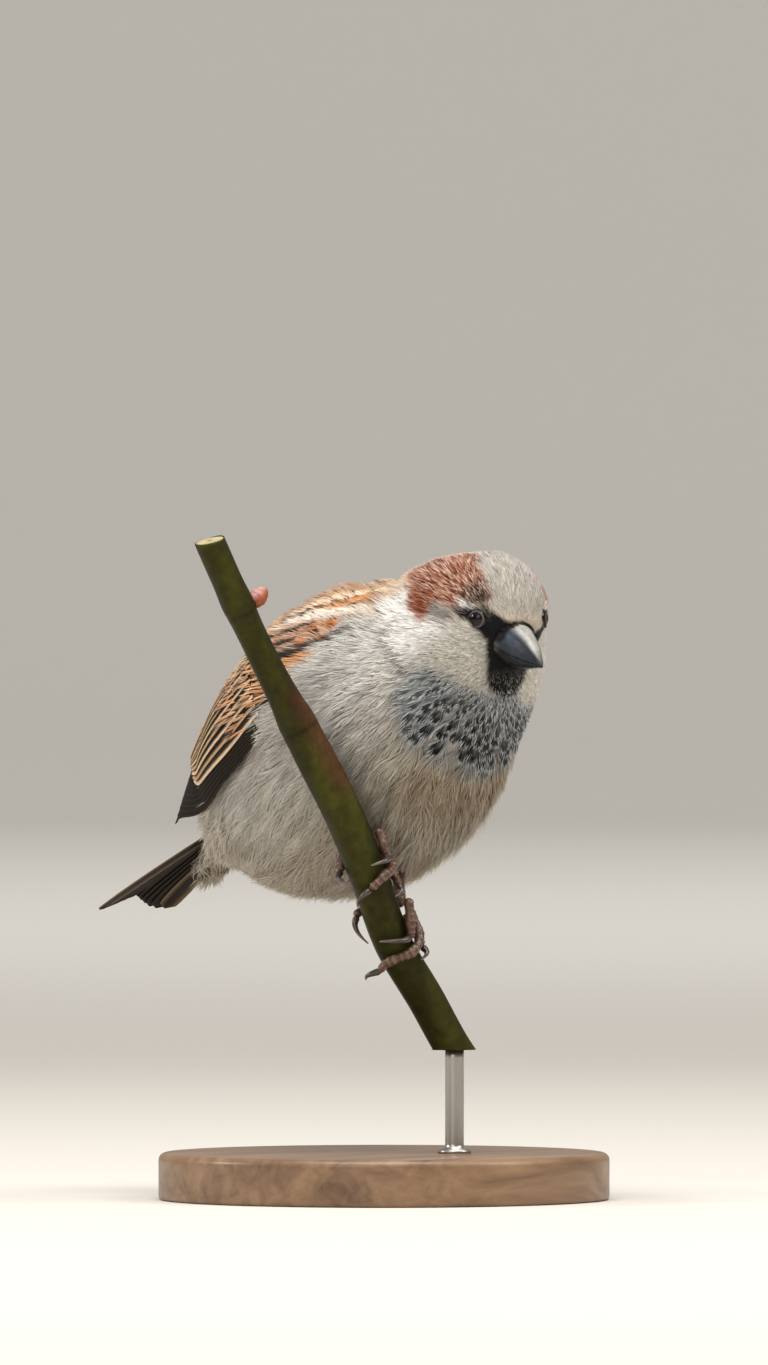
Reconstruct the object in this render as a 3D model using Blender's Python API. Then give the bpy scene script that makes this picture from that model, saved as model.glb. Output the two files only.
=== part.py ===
"""A male house sparrow in winter plumage, life size, perched on a cut stem that a display stand holds."""

import math

import bmesh
import bpy
import numpy as np

# Sizes are in millimetres and angles in degrees.
# +X is the way the body faces, +Y is the bird's left and +Z is up. Z = 0 is the underside of the base.
MM = 0.001
GAP = 0.3  # left between pieces that touch

# The trunk's axis starts at the root of the tail and rises forwards.
BODY_ORIGIN = (-43.8, 0.0, 72.8)
BODY_PITCH = 35.0
# Along the axis: the trunk's radius above it, below it and to each side, feathers included.
TRUNK = (
    (-3, 5, 1.8, 5),
    (2, 8.5, 4.8, 9),
    (8, 13.5, 14, 15),
    (17, 19.5, 22.6, 21.5),
    (28, 23.8, 29, 26.3),
    (40, 26.5, 32.4, 28.4),
    (51, 28.2, 33, 28.6),
    (61, 27.6, 30.6, 27.2),
    (70, 24.6, 26, 24.2),
    (79, 18.8, 22.4, 20.4),
    (88, 15.2, 16.5, 17),
    (97, 8, 7, 9),
)

# The head turns to its right and looks down. Its frame starts midway between the eyes.
EYE_MIDDLE = (38.6, -3.0, 123.5)
HEAD_YAW = -18.0
HEAD_PITCH = -20.0
# Ahead of the eyes: the head's top and bottom above them, and its half width.
HEAD = (
    (-27, 3.5, -13, 12),
    (-20, 7.8, -15.5, 14.6),
    (-14, 10.5, -15.5, 14.2),
    (-8, 10.9, -14, 12.7),
    (-3, 9.7, -12.2, 10.6),
    (0, 7.9, -10.8, 8.6),
    (2.5, 4.6, -9.6, 6.3),
    (4.0, 0.9, -8.6, 4.1),
)
FACE_END = 0.05  # the face stops this far past its last section
NECK_BLEND = 4.5  # how softly the head runs into the trunk

EYE_RADIUS = 2.6
EYE_AHEAD, EYE_OUT = -0.8, 6.8  # its centre, ahead of and out from the middle point

# Ahead of the eyes: the bill's ridge, mouth line, lower edge and half width.
BILL = (
    (4.8, 0.65, -4.9, -8.5, 3.55),
    (7.5, 0.1, -5.0, -8.1, 3.1),
    (10.5, -1.0, -4.9, -7.2, 2.35),
    (13.3, -2.5, -4.7, -6.0, 1.4),
    (15.2, -3.8, -4.6, -5.2, 0.65),
    (16.0, -4.4, -4.65, -4.95, 0.22),
)
BILL_FULLNESS = 0.8  # 1 gives oval cross sections, less gives fuller ones

# The folded wing lies round the trunk. Along the axis: its upper and lower edge as angles from
# the ridge of the back, and the least radius of its inner face.
WING_THICKNESS = 1.5
WING_EDGE = 0.6  # its thickness at the edges
WING_CLEARANCE = 0.45  # between its inner face and the body
WING_GROUPS = {
    "coverts": (
        (71.5, 32, 58, 0),
        (64, 17, 68, 0),
        (56, 12, 72, 0),
        (48.5, 12, 85, 0),
        (40.2, 13, 84, 0),
    ),
    "secondaries": (
        (39.6, 13, 65, 25.4),
        (30, 14, 65, 24.6),
        (20, 17, 61, 22.8),
        (14, 22, 53, 21.0),
        (9.5, 30, 41, 19.0),
    ),
    "primaries": (
        (39.6, 66, 84, 25.4),
        (30, 66, 87, 24.8),
        (20, 62.5, 84, 22.6),
        (14, 54.5, 76, 20.4),
        (9.5, 43, 68, 18.4),
        (3, 33, 54, 15.6),
        (-3.2, 32, 38, 12.9),
    ),
}

TAIL_ROOT = (-40.5, 0.0, 80.2)
TAIL_PITCH = 31.0  # its fall towards the tip
TAIL_LENGTH = 39.5  # from the socket in the trunk to the tip
TAIL_HALF_WIDTHS = (5.0, 11.6)  # at the root and near the tip
TAIL_NOTCH = 3.6
TAIL_LOBE = 0.62  # each lobe's tip lies at this share of the half width
TAIL_CORNER = 2.6  # how far the outer corners fall short of the lobes
TAIL_ARCH = 1.6
TAIL_THICKNESS = (2.4, 0.9)

# The stem rises from the stand past the bird's right side, here from top to bottom.
STEM = (
    (5.0, -60.3, 140.3),
    (5.6, -52.7, 127.6),
    (6.3, -44.9, 115.4),
    (7.7, -36.1, 102.0),
    (12.9, -25.9, 80.7),
    (13.0, -18.6, 68.0),
    (12.2, -10.4, 54.4),
    (12.9, -1.2, 43.1),
    (14.4, 6.6, 31.8),
    (17.4, 14.6, 21.2),
)
STEM_FOOT = 32.0  # the height of its level cut end
STEM_RADII = ((32, 3.9), (80, 4.1), (98, 4.05), (106, 3.45), (140, 3.2))  # heights and radii
STEM_NODES = (102.4, 127.0)  # heights of the thickened rings where leaves grew
STEM_NODE_SWELL, STEM_NODE_SPREAD = 0.35, 2.2
BUD_HEIGHT = 125.7
BUD_FACING = 64.0
BUD_CLEARANCE = 0.5
BUD_LENGTH = 3.4
BUD_LIFT = 0.7  # how far it curves up
BUD_RADII = (1.5, 2.0, 0.8)  # at the root, the widest place and the tip

# Angles round the stem start at the side that faces the body, and grow towards the bird's front.
GRIP_HEADING = 132.0
TOE_RADIUS = 0.92
# Each toe from its root to its end and then its claw's tip: the angle, the height, and how far it
# is lifted off the stem.
TOES = {
    "right": {
        "inner": ((66, 79.4, 0.6), (88, 76.0, 0.1), (104, 73.7, 0.1), (164, 71.6, 0.3)),
        "middle": ((48, 75.8, 0.6), (90, 71.7, 0.1), (140, 69.6, 0), (187, 66.5, 0), (238, 62.7, 0.5)),
        "outer": ((26, 73.4, 0.6), (60, 70.0, 0.3), (92, 67.6, 0.1), (128, 65.0, 0.4)),
        "hallux": ((-14, 77.5, 0.6), (-44, 73.5, 0.2), (-74, 70.2, 0.2), (-132, 67.2, 0.6)),
    },
    "left": {
        "inner": ((86, 64.6, 1.1), (112, 59.6, 0.5), (134, 56.2, 0.1), (208, 55.3, 0.3)),
        "middle": (
            (64, 62.0, 1.1),
            (98, 56.6, 0.7),
            (146, 53.3, 0.1),
            (206, 51.0, 0),
            (258, 48.9, 0.1),
            (277, 46.9, 4.2),
        ),
        "outer": ((42, 60.6, 1.1), (74, 56.8, 0.6), (97, 54.0, 0.1), (134, 51.4, 0.4)),
        "hallux": ((4, 65.0, 0.8), (-34, 62.0, 0.3), (-70, 60.6, 0.3), (-112, 54.6, 0.6)),
    },
}
# Where each ankle lies, inside the feathers of the belly.
ANKLES = {"right": (-2.0, -12.0, 84.0), "left": (0.0, 5.0, 76.0)}
TARSUS_RADIUS = 1.2
CLAW_RADII = (0.66, 0.24)
CLAW_BOW = 0.6

BASE_RADIUS = 48.0
BASE_HEIGHT = 10.0
BASE_BEVEL = 1.6
ROD_RADIUS = 2.0


def axes(yaw, pitch):
    """Forward, left and up of a frame turned about Z and then tilted up."""
    yaw, pitch = math.radians(yaw), math.radians(pitch)
    forward = np.array(
        (math.cos(yaw) * math.cos(pitch), math.sin(yaw) * math.cos(pitch), math.sin(pitch))
    )
    left = np.array((-math.sin(yaw), math.cos(yaw), 0.0))
    return np.array((forward, left, np.cross(forward, left)))


BODY_AXES = axes(0, BODY_PITCH)
HEAD_AXES = axes(HEAD_YAW, HEAD_PITCH)


def in_head(ahead, left, up):
    return np.array(EYE_MIDDLE) + np.array((ahead, left, up)) @ HEAD_AXES


def on_body(along, left, up):
    return np.array(BODY_ORIGIN) + np.array((along, left, up)) @ BODY_AXES


def through(knots, at):
    """Smooth curves through the knots' values, read at these places of their first column."""
    knots = np.array(knots, float)
    if knots[0, 0] > knots[-1, 0]:
        knots = knots[::-1]
    places, values = knots[:, 0], knots[:, 1:]
    slopes = np.gradient(values, places, axis=0)
    at = np.clip(np.asarray(at, float), places[0], places[-1])
    i = np.clip(np.searchsorted(places, at) - 1, 0, len(places) - 2)
    span = places[i + 1] - places[i]
    t = ((at - places[i]) / span)[..., None]
    span = span[..., None]
    return (
        values[i] * (1 + 2 * t) * (1 - t) ** 2
        + values[i + 1] * t * t * (3 - 2 * t)
        + slopes[i] * span * t * (1 - t) ** 2
        - slopes[i + 1] * span * t * t * (1 - t)
    )


def oval_depth(across, height, side, top, bottom):
    """How far a point lies outside an oval whose upper and lower halves differ."""
    reach = np.where(height > 0, top, bottom)
    return (np.hypot(across / side, height / reach) - 1) * np.minimum(side, reach)


def trunk_depth(points):
    along, across, height = ((points - BODY_ORIGIN) @ BODY_AXES.T).T
    top, bottom, side = through(TRUNK, along).T
    return np.maximum(oval_depth(across, height, side, top, bottom), along - TRUNK[-1][0])


def head_depth(points):
    ahead, across, height = ((points - EYE_MIDDLE) @ HEAD_AXES.T).T
    top, bottom, side = through(HEAD, ahead).T
    half = (top - bottom) / 2
    depth = oval_depth(across, height - (top + bottom) / 2, side, half, half)
    behind, beyond = HEAD[0][0] - ahead, ahead - HEAD[-1][0] - FACE_END
    return np.maximum(depth, np.maximum(behind, beyond))


def body_depth(points):
    """Below zero inside the feathered body: the trunk and the head, blended where they meet."""
    trunk, head = trunk_depth(points), head_depth(points)
    near = np.maximum(NECK_BLEND - np.abs(trunk - head), 0)
    return np.minimum(trunk, head) - near * near / (4 * NECK_BLEND)


def reach(centre, directions, limit=60.0, step=1.5):
    """How far the body reaches from an inner point in each direction."""
    inner = np.zeros(len(directions))
    for _ in range(int(limit / step)):
        ahead = body_depth(centre + directions * (inner + step)[:, None]) < 0
        inner = np.where(ahead, inner + step, inner)
    outer = inner + step
    for _ in range(24):
        middle = (inner + outer) / 2
        inside = body_depth(centre + directions * middle[:, None]) < 0
        inner = np.where(inside, middle, inner)
        outer = np.where(inside, outer, middle)
    return inner


def material(name, colour, roughness, metallic=0.0):
    made = bpy.data.materials.new(name)
    made.use_nodes = True
    made.diffuse_color = (*colour, 1)
    shader = made.node_tree.nodes["Principled BSDF"]
    shader.inputs["Base Color"].default_value = (*colour, 1)
    shader.inputs["Roughness"].default_value = roughness
    shader.inputs["Metallic"].default_value = metallic
    return made


def add(name, points, faces, looks):
    """One object from points in millimetres, its faces turned to point out."""
    mesh = bpy.data.meshes.new(name)
    mesh.from_pydata([tuple(p) for p in np.asarray(points, float) * MM], [], faces)
    work = bmesh.new()
    work.from_mesh(mesh)
    bmesh.ops.recalc_face_normals(work, faces=work.faces)
    work.to_mesh(mesh)
    work.free()
    mesh.shade_smooth()
    mesh.set_sharp_from_angle(angle=math.radians(42))
    mesh.materials.append(looks)
    obj = bpy.data.objects.new(name, mesh)
    bpy.context.scene.collection.objects.link(obj)
    return obj


def loft(name, rings, looks):
    """A closed skin over rings of points, with a flat face at each end."""
    rings = np.asarray(rings, float)
    count, around = rings.shape[:2]
    faces = [tuple(range(around)), tuple(range((count - 1) * around, count * around))]
    for i in range(count - 1):
        for j in range(around):
            k = (j + 1) % around
            faces.append(
                (i * around + j, i * around + k, (i + 1) * around + k, (i + 1) * around + j)
            )
    return add(name, rings.reshape(-1, 3), faces, looks)


def shell(name, outer, inner, looks):
    """A closed plate between two grids of points."""
    rows, columns = outer.shape[:2]
    count = rows * columns
    faces = []
    for i in range(rows - 1):
        for j in range(columns - 1):
            quad = (
                i * columns + j,
                i * columns + j + 1,
                (i + 1) * columns + j + 1,
                (i + 1) * columns + j,
            )
            faces.append(quad)
            faces.append(tuple(count + corner for corner in quad))
    border = list(range(columns))
    border += [i * columns + columns - 1 for i in range(1, rows)]
    border += [(rows - 1) * columns + j for j in range(columns - 2, -1, -1)]
    border += [i * columns for i in range(rows - 2, 0, -1)]
    for here, there in zip(border, border[1:] + border[:1]):
        faces.append((here, there, count + there, count + here))
    points = np.concatenate([outer.reshape(-1, 3), inner.reshape(-1, 3)])
    return add(name, points, faces, looks)


def unit(vectors):
    return vectors / np.linalg.norm(vectors, axis=-1, keepdims=True)


def tube(name, path, radii, looks, sides=7):
    """A round bar along a path, narrowing as the radii say."""
    path = np.asarray(path, float)
    radii = np.broadcast_to(radii, len(path))
    ahead = unit(np.gradient(path, axis=0))
    side = unit(np.cross(ahead, (0.13, 0.31, 0.94)))
    above = np.cross(side, ahead)
    turn = np.radians(np.arange(sides) * 360 / sides)
    rings = [
        p + r * (np.outer(np.cos(turn), s) + np.outer(np.sin(turn), a))
        for p, r, s, a in zip(path, radii, side, above)
    ]
    return loft(name, rings, looks)


def cut(obj, cutter):
    """Takes the cutter's shape out of obj, and hides the cutter."""
    cutter.hide_render = True
    cutter.display_type = "WIRE"
    boolean = obj.modifiers.new("Cut " + cutter.name, "BOOLEAN")
    boolean.operation = "DIFFERENCE"
    boolean.solver = "EXACT"
    boolean.object = cutter


# ---- the feathered body ------------------------------------------------------------------------

# The middle line of the body and the way its cross sections face: place, yaw and pitch.
SPINE = (
    (0, *on_body(-2.5, 0, 1), 0, 35),
    (1, *on_body(12, 0, -1.5), 0, 35),
    (2, *on_body(40, 0, -2), 0, 35),
    (3, *on_body(66, 0, -1), 0, 33),
    (4, *on_body(78.5, 0, -1), -3, 21.5),
    (5, *in_head(-9.3, 0, -3.5), -9, 9.2),
    (5.5, *in_head(-4.4, 0, -3.8), -12.4, -1.2),
    (6, *in_head(3.9, 0, -3.9), -18, -20),
)
NECK_BACK, NECK_FRONT = 3.7, 4.6
AROUND = 32


def section(place, shift=0.0):
    """The ring where a cross section of the body meets its surface."""
    x, y, z, yaw, pitch = through(SPINE, [place])[0]
    forward, left, up = axes(yaw, pitch)
    turn = np.radians(np.arange(AROUND) * 360 / AROUND)
    directions = np.outer(np.cos(turn), up) + np.outer(np.sin(turn), left)
    centre = np.array((x, y, z)) + shift * forward
    return centre + directions * reach(centre, directions)[:, None]


def body_piece(name, start, end, rings, looks, open_start=0.0, open_end=0.0):
    """The length of the body between two places on its middle line, drawn back from each cut."""
    places = np.linspace(start, end, rings)
    made = [section(places[0], open_start)]
    made += [section(place) for place in places[1:-1]]
    made.append(section(places[-1], -open_end))
    return loft(name, made, looks)


def make_body(looks):
    trunk = body_piece("trunk", 0.0, NECK_BACK, 21, looks["flank"], 0, GAP / 2)
    body_piece("neck", NECK_BACK, NECK_FRONT, 6, looks["collar"], GAP / 2, GAP / 2)
    head = body_piece("head", NECK_FRONT, 6.0, 12, looks["crown"], GAP / 2, 0)
    return trunk, head


def ball(name, centre, radius, looks, rings=8, sides=14):
    mesh = bpy.data.meshes.new(name)
    work = bmesh.new()
    bmesh.ops.create_uvsphere(work, u_segments=sides, v_segments=rings, radius=radius * MM)
    bmesh.ops.translate(work, verts=work.verts, vec=np.asarray(centre) * MM)
    work.to_mesh(mesh)
    work.free()
    mesh.shade_smooth()
    mesh.materials.append(looks)
    obj = bpy.data.objects.new(name, mesh)
    bpy.context.scene.collection.objects.link(obj)
    return obj


def make_eyes(head, looks):
    for side, sign in (("left", 1), ("right", -1)):
        centre = in_head(EYE_AHEAD, sign * EYE_OUT, 0)
        ball("eye_" + side, centre, EYE_RADIUS, looks["eye"])
        cut(head, ball("socket_" + side, centre, EYE_RADIUS + GAP, looks["eye"]))


def make_bill(looks):
    """Two horny cones that meet along the mouth line."""
    ahead = np.linspace(BILL[0][0], BILL[-1][0], 9)
    ridge, mouth, keel, half = through(BILL, ahead).T
    turn = np.radians(np.linspace(0, 180, 9))
    for name, far, away in (("bill_upper", ridge, 1), ("bill_lower", keel, -1)):
        near = mouth + away * GAP / 2
        rings = [
            [in_head(a, w * math.cos(t), n + (f - n) * math.sin(t) ** BILL_FULLNESS) for t in turn]
            for a, f, n, w in zip(ahead, far, near, half)
        ]
        loft(name, rings, looks["horn"])


# ---- wings and tail ----------------------------------------------------------------------------


def wing_group(knots, side, rows, columns):
    """The outer and inner grid of one group of feathers of a folded wing."""
    along = np.linspace(knots[0][0], knots[-1][0], rows)
    upper, lower, least = through(knots, along).T
    across = np.linspace(0, 1, columns)
    outer, inner = [], []
    for s, top, low, radius in zip(along, upper, lower, least):
        turn = np.radians(top + (low - top) * across)
        directions = (
            np.outer(np.cos(turn), BODY_AXES[2]) + np.outer(side * np.sin(turn), BODY_AXES[1])
        )
        centre = on_body(s, 0, 0)
        base = np.maximum(reach(centre, directions) + WING_CLEARANCE, radius)
        inner.append(centre + directions * base[:, None])
        swell = np.sqrt(np.abs(np.sin(np.pi * across)))
        thick = WING_EDGE + (WING_THICKNESS - WING_EDGE) * swell
        outer.append(centre + directions * (base + thick)[:, None])
    return np.array(outer), np.array(inner)


def make_wings(looks):
    for side, sign in (("left", 1), ("right", -1)):
        for group, knots in WING_GROUPS.items():
            outer, inner = wing_group(knots, sign, 10, 7)
            shell(f"wing_{group}_{side}", outer, inner, looks[group])


def make_tail(trunk, looks):
    """A narrow fan, arched across, with a shallow notch."""
    backward, left, up = axes(180, -TAIL_PITCH)

    def grids(grow):
        outer, inner = [], []
        for t in np.linspace(0, 1, 9):
            half = np.interp(t, (0, 0.85, 1), (*TAIL_HALF_WIDTHS, TAIL_HALF_WIDTHS[1] * 0.93))
            thick = np.interp(t, (0, 1), TAIL_THICKNESS) / 2 + grow
            top, under = [], []
            for a in np.linspace(-1, 1, 11):
                dip = TAIL_NOTCH * (0.5 + 0.5 * math.cos(math.pi * min(abs(a) / TAIL_LOBE, 1)))
                dip += TAIL_CORNER * max(0.0, (abs(a) - TAIL_LOBE) / (1 - TAIL_LOBE)) ** 2
                run = TAIL_LENGTH * t - dip * t**3 + (2 * t - 1) * grow
                arch = TAIL_ARCH * (0.4 + 0.6 * t) * (1 - a * a)
                place = np.array(TAIL_ROOT) + backward * run + left * a * (half + grow)
                top.append(place + up * (arch + thick))
                under.append(place + up * (arch - thick))
            outer.append(top)
            inner.append(under)
        return np.array(outer), np.array(inner)

    shell("tail", *grids(0), looks["tail"])
    cut(trunk, shell("tail_socket", *grids(GAP), looks["tail"]))


# ---- stem, feet and stand ----------------------------------------------------------------------


def stem_middle(heights):
    """The stem's middle line at these heights."""
    heights = np.atleast_1d(np.asarray(heights, float))
    across = through([(z, x, y) for x, y, z in STEM], heights)
    return np.column_stack([across, heights])


def round_stem(turn, heights, distance):
    """Points at an angle round the stem, at a distance from its middle line."""
    middle = stem_middle(heights)
    lean = unit(stem_middle(np.asarray(heights) + 0.5) - stem_middle(np.asarray(heights) - 0.5))
    heading = math.radians(GRIP_HEADING)
    facing = np.array((math.cos(heading), math.sin(heading), 0))
    facing = unit(facing - lean * (lean @ facing)[:, None])
    front = np.cross(facing, lean)
    turn = np.radians(turn)[:, None]
    distance = np.broadcast_to(distance, len(middle))[:, None]
    return middle + distance * (facing * np.cos(turn) + front * np.sin(turn))


def stem_radius(heights):
    """The stem's radius, which swells a little at each ring."""
    heights = np.asarray(heights, float)
    swell = sum(np.exp(-(((heights - ring) / STEM_NODE_SPREAD) ** 2)) for ring in STEM_NODES)
    return np.interp(heights, *zip(*STEM_RADII)) + STEM_NODE_SWELL * swell


def make_stem(looks):
    heights = np.linspace(STEM_FOOT - 6, STEM[0][2], 24)
    heights = np.sort(np.concatenate([heights, STEM_NODES]))
    turn = np.arange(12) * 30
    rings = [
        round_stem(turn, np.full(len(turn), z), stem_radius(z)) for z in heights
    ]
    stem = loft("perch_stem", rings, looks["stem"])
    below = bpy.data.meshes.new("level_cut")
    work = bmesh.new()
    bmesh.ops.create_cube(work, size=60 * MM)
    foot = stem_middle(STEM_FOOT)[0] - (0, 0, 30)
    bmesh.ops.translate(work, verts=work.verts, vec=foot * MM)
    work.to_mesh(below)
    work.free()
    cutter = bpy.data.objects.new("level_cut", below)
    bpy.context.scene.collection.objects.link(cutter)
    cut(stem, cutter)

    t = np.linspace(0, 1, 6)
    root = round_stem(np.array([BUD_FACING]), [BUD_HEIGHT], stem_radius(BUD_HEIGHT) + BUD_CLEARANCE)[0]
    out = unit(root - stem_middle(BUD_HEIGHT)[0])
    path = root + np.outer(t * BUD_LENGTH, out) + np.outer(t**2 * BUD_LIFT, (0, 0, 1))
    tube("perch_bud", path, np.interp(t, (0, 0.4, 1), BUD_RADII), looks["bud"])


def grip(turn, height, lift):
    """Points that lie on the stem at these true heights, except where they are lifted."""
    away = stem_radius(height) + GAP + TOE_RADIUS + lift
    drop = round_stem(turn, height, away)[:, 2] - height
    return round_stem(turn, height - drop, away)


def toe_run(knots, start, end, steps):
    """A smooth run between two of a toe's places."""
    numbered = [(i, *knot) for i, knot in enumerate(knots)]
    return through(numbered, np.linspace(start, end, steps)).T


def make_feet(trunk, looks):
    for side, toes in TOES.items():
        for toe, knots in toes.items():
            last = len(knots) - 1
            path = grip(*toe_run(knots, 0, last - 1, 9))
            thick = TOE_RADIUS * np.interp(np.linspace(0, 1, 9), (0, 0.6, 1), (1.08, 1.0, 0.82))
            tube(f"toe_{toe}_{side}", path, thick, looks["leg"])
            cut(trunk, tube(f"room_{toe}_{side}", path, thick + GAP, looks["leg"]))
            turn, height, lift = toe_run(knots, last - 0.86, last, 7)
            t = np.linspace(0, 1, 7)
            claw = grip(turn, height, lift + CLAW_BOW * np.sin(math.pi * t) - t / 2)
            tube(f"claw_{toe}_{side}", claw, np.interp(t, (0, 1), CLAW_RADII), looks["claw"], 6)
        palm = np.mean([grip(*toe_run(knots, 0, 1, 2))[0] for knots in toes.values()], axis=0)
        ankle = np.array(ANKLES[side])
        t = np.linspace(0, 1, 7)
        path = ankle + (palm - ankle) * t[:, None]
        thick = np.interp(t, (0, 0.7, 1), (1.3, 1.0, 1.1)) * TARSUS_RADIUS
        tube("tarsus_" + side, path, thick, looks["leg"])
        cut(trunk, tube("room_tarsus_" + side, path, thick + GAP, looks["leg"]))


def disc(name, centre, radius, low, high, looks, sides=48, bevel=0.0):
    """An upright disc or rod, its upper rim rounded by the bevel."""
    turn = np.arange(sides) * 2 * math.pi / sides
    ring = np.column_stack([np.cos(turn), np.sin(turn)])
    levels = [(radius, low)]
    for t in np.linspace(0, math.pi / 2, 4 if bevel else 1):
        levels.append((radius - bevel * (1 - math.cos(t)), high - bevel * (1 - math.sin(t))))
    rings = [
        np.column_stack([centre[0] + r * ring[:, 0], centre[1] + r * ring[:, 1], np.full(sides, z)])
        for r, z in levels
    ]
    return loft(name, rings, looks)


def make_stand(looks):
    disc("stand_base", (0, 0), BASE_RADIUS, 0, BASE_HEIGHT, looks["base"], bevel=BASE_BEVEL)
    foot = stem_middle(STEM_FOOT)[0]
    disc("stand_rod", foot, ROD_RADIUS, BASE_HEIGHT + GAP, STEM_FOOT - GAP, looks["rod"], sides=20)


def main():
    for obj in list(bpy.data.objects):
        bpy.data.objects.remove(obj)
    looks = {
        "flank": material("Flank feathers", (0.55, 0.52, 0.47), 0.9),
        "collar": material("Collar feathers", (0.72, 0.70, 0.66), 0.9),
        "crown": material("Crown feathers", (0.36, 0.33, 0.30), 0.9),
        "coverts": material("Chestnut coverts", (0.32, 0.15, 0.06), 0.8),
        "secondaries": material("Buff-edged secondaries", (0.30, 0.19, 0.10), 0.75),
        "primaries": material("Dark primaries", (0.04, 0.03, 0.025), 0.7),
        "tail": material("Tail feathers", (0.09, 0.065, 0.045), 0.7),
        "eye": material("Eye", (0.012, 0.008, 0.006), 0.08),
        "horn": material("Bill horn", (0.06, 0.065, 0.085), 0.35),
        "leg": material("Scaly foot skin", (0.33, 0.18, 0.11), 0.45),
        "claw": material("Claw horn", (0.16, 0.12, 0.10), 0.35),
        "stem": material("Green stem bark", (0.10, 0.10, 0.025), 0.5),
        "bud": material("Leaf bud", (0.50, 0.20, 0.15), 0.6),
        "base": material("Base wood", (0.30, 0.19, 0.11), 0.5),
        "rod": material("Rod metal", (0.35, 0.34, 0.32), 0.35, 1.0),
    }
    trunk, head = make_body(looks)
    make_eyes(head, looks)
    make_bill(looks)
    make_wings(looks)
    make_tail(trunk, looks)
    make_stem(looks)
    make_feet(trunk, looks)
    make_stand(looks)


main()
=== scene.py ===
"""The look of the house sparrow: its skin, feathers, eyes, bill, feet, perch and stand."""

import itertools
import math

import bmesh
import bpy
import numpy as np
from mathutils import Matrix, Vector


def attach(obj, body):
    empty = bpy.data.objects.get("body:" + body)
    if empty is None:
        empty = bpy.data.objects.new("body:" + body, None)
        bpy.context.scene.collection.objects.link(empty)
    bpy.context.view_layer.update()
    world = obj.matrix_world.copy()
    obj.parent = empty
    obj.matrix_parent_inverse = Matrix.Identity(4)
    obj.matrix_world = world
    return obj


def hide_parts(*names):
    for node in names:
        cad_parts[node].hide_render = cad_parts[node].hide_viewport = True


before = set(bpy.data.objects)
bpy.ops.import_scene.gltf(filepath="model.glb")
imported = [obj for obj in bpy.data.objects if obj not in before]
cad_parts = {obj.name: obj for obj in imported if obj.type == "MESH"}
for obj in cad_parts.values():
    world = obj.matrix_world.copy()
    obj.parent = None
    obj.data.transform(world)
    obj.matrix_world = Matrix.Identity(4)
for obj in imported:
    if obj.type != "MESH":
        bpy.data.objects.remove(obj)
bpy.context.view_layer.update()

# Lengths are in millimetres and angles in degrees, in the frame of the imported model.
MM = 0.001
rng = np.random.default_rng(11)


# ---- the body's own frames, as in the solids ----

BODY_ORIGIN = np.array((-43.8, 0.0, 72.8))
BODY_PITCH = 35.0
TRUNK = (
    (-3, 5, 1.8, 5), (2, 8.5, 4.8, 9), (8, 13.5, 14, 15), (17, 19.5, 22.6, 21.5),
    (28, 23.8, 29, 26.3), (40, 26.5, 32.4, 28.4), (51, 28.2, 33, 28.6), (61, 27.6, 30.6, 27.2),
    (70, 24.6, 26, 24.2), (79, 18.8, 22.4, 20.4), (88, 15.2, 16.5, 17), (97, 8, 7, 9),
)
EYE_MIDDLE = np.array((38.6, -3.0, 123.5))
HEAD_YAW = -18.0
HEAD_PITCH = -20.0
HEAD = (
    (-27, 3.5, -13, 12), (-20, 7.8, -15.5, 14.6), (-14, 10.5, -15.5, 14.2), (-8, 10.9, -14, 12.7),
    (-3, 9.7, -12.2, 10.6), (0, 7.9, -10.8, 8.6), (2.5, 4.6, -9.6, 6.3), (4.0, 0.9, -8.6, 4.1),
)
FACE_END = 0.05
NECK_BLEND = 4.5
EYE_RADIUS = 2.6
EYE_AHEAD, EYE_OUT = -0.8, 6.8


def heading(yaw, pitch):
    yaw, pitch = np.radians((yaw, pitch))
    return np.array((np.cos(yaw) * np.cos(pitch), np.sin(yaw) * np.cos(pitch), np.sin(pitch)))


def axes(yaw, pitch):
    """Ahead, left and up."""
    forward, left = heading(yaw, pitch), heading(yaw + 90, 0)
    return np.array((forward, left, np.cross(forward, left)))


BODY_AXES = axes(0, BODY_PITCH)
HEAD_AXES = axes(HEAD_YAW, HEAD_PITCH)


def in_head(*place):
    return EYE_MIDDLE + np.stack(np.broadcast_arrays(*place), -1) @ HEAD_AXES


def on_body(*place):
    return BODY_ORIGIN + np.stack(np.broadcast_arrays(*place), -1) @ BODY_AXES


def through(knots, at):
    """Smooth curves through the knots' values, read at these places of their first column."""
    knots = np.array(knots, float)
    if knots[0, 0] > knots[-1, 0]:
        knots = knots[::-1]
    places, values = knots[:, 0], knots[:, 1:]
    slopes = np.gradient(values, places, axis=0)
    at = np.clip(np.asarray(at, float), places[0], places[-1])
    i = np.clip(np.searchsorted(places, at) - 1, 0, len(places) - 2)
    span = places[i + 1] - places[i]
    t = ((at - places[i]) / span)[..., None]
    span = span[..., None]
    return (
        values[i] * (1 + 2 * t) * (1 - t) ** 2
        + values[i + 1] * t * t * (3 - 2 * t)
        + slopes[i] * span * t * (1 - t) ** 2
        - slopes[i + 1] * span * t * t * (1 - t)
    )


def unit(vectors):
    return vectors / np.maximum(np.linalg.norm(vectors, axis=-1, keepdims=True), 1e-9)


def smooth(low, high, value):
    t = np.clip((value - low) / (high - low), 0, 1)
    return t * t * (3 - 2 * t)


def falls(low, high, value):
    return 1 - smooth(low, high, value)


def between(start, full, ebb, end, value):
    """Rises from start to full and falls from ebb to end."""
    return smooth(start, full, value) * falls(ebb, end, value)


def read(table, at):
    """The second column of a table, read between its rows at places of the first."""
    return np.interp(at, *np.array(table).T)


def angles(count):
    """Evenly spaced angles all the way round."""
    return np.radians(np.arange(count) * 360 / count)


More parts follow.
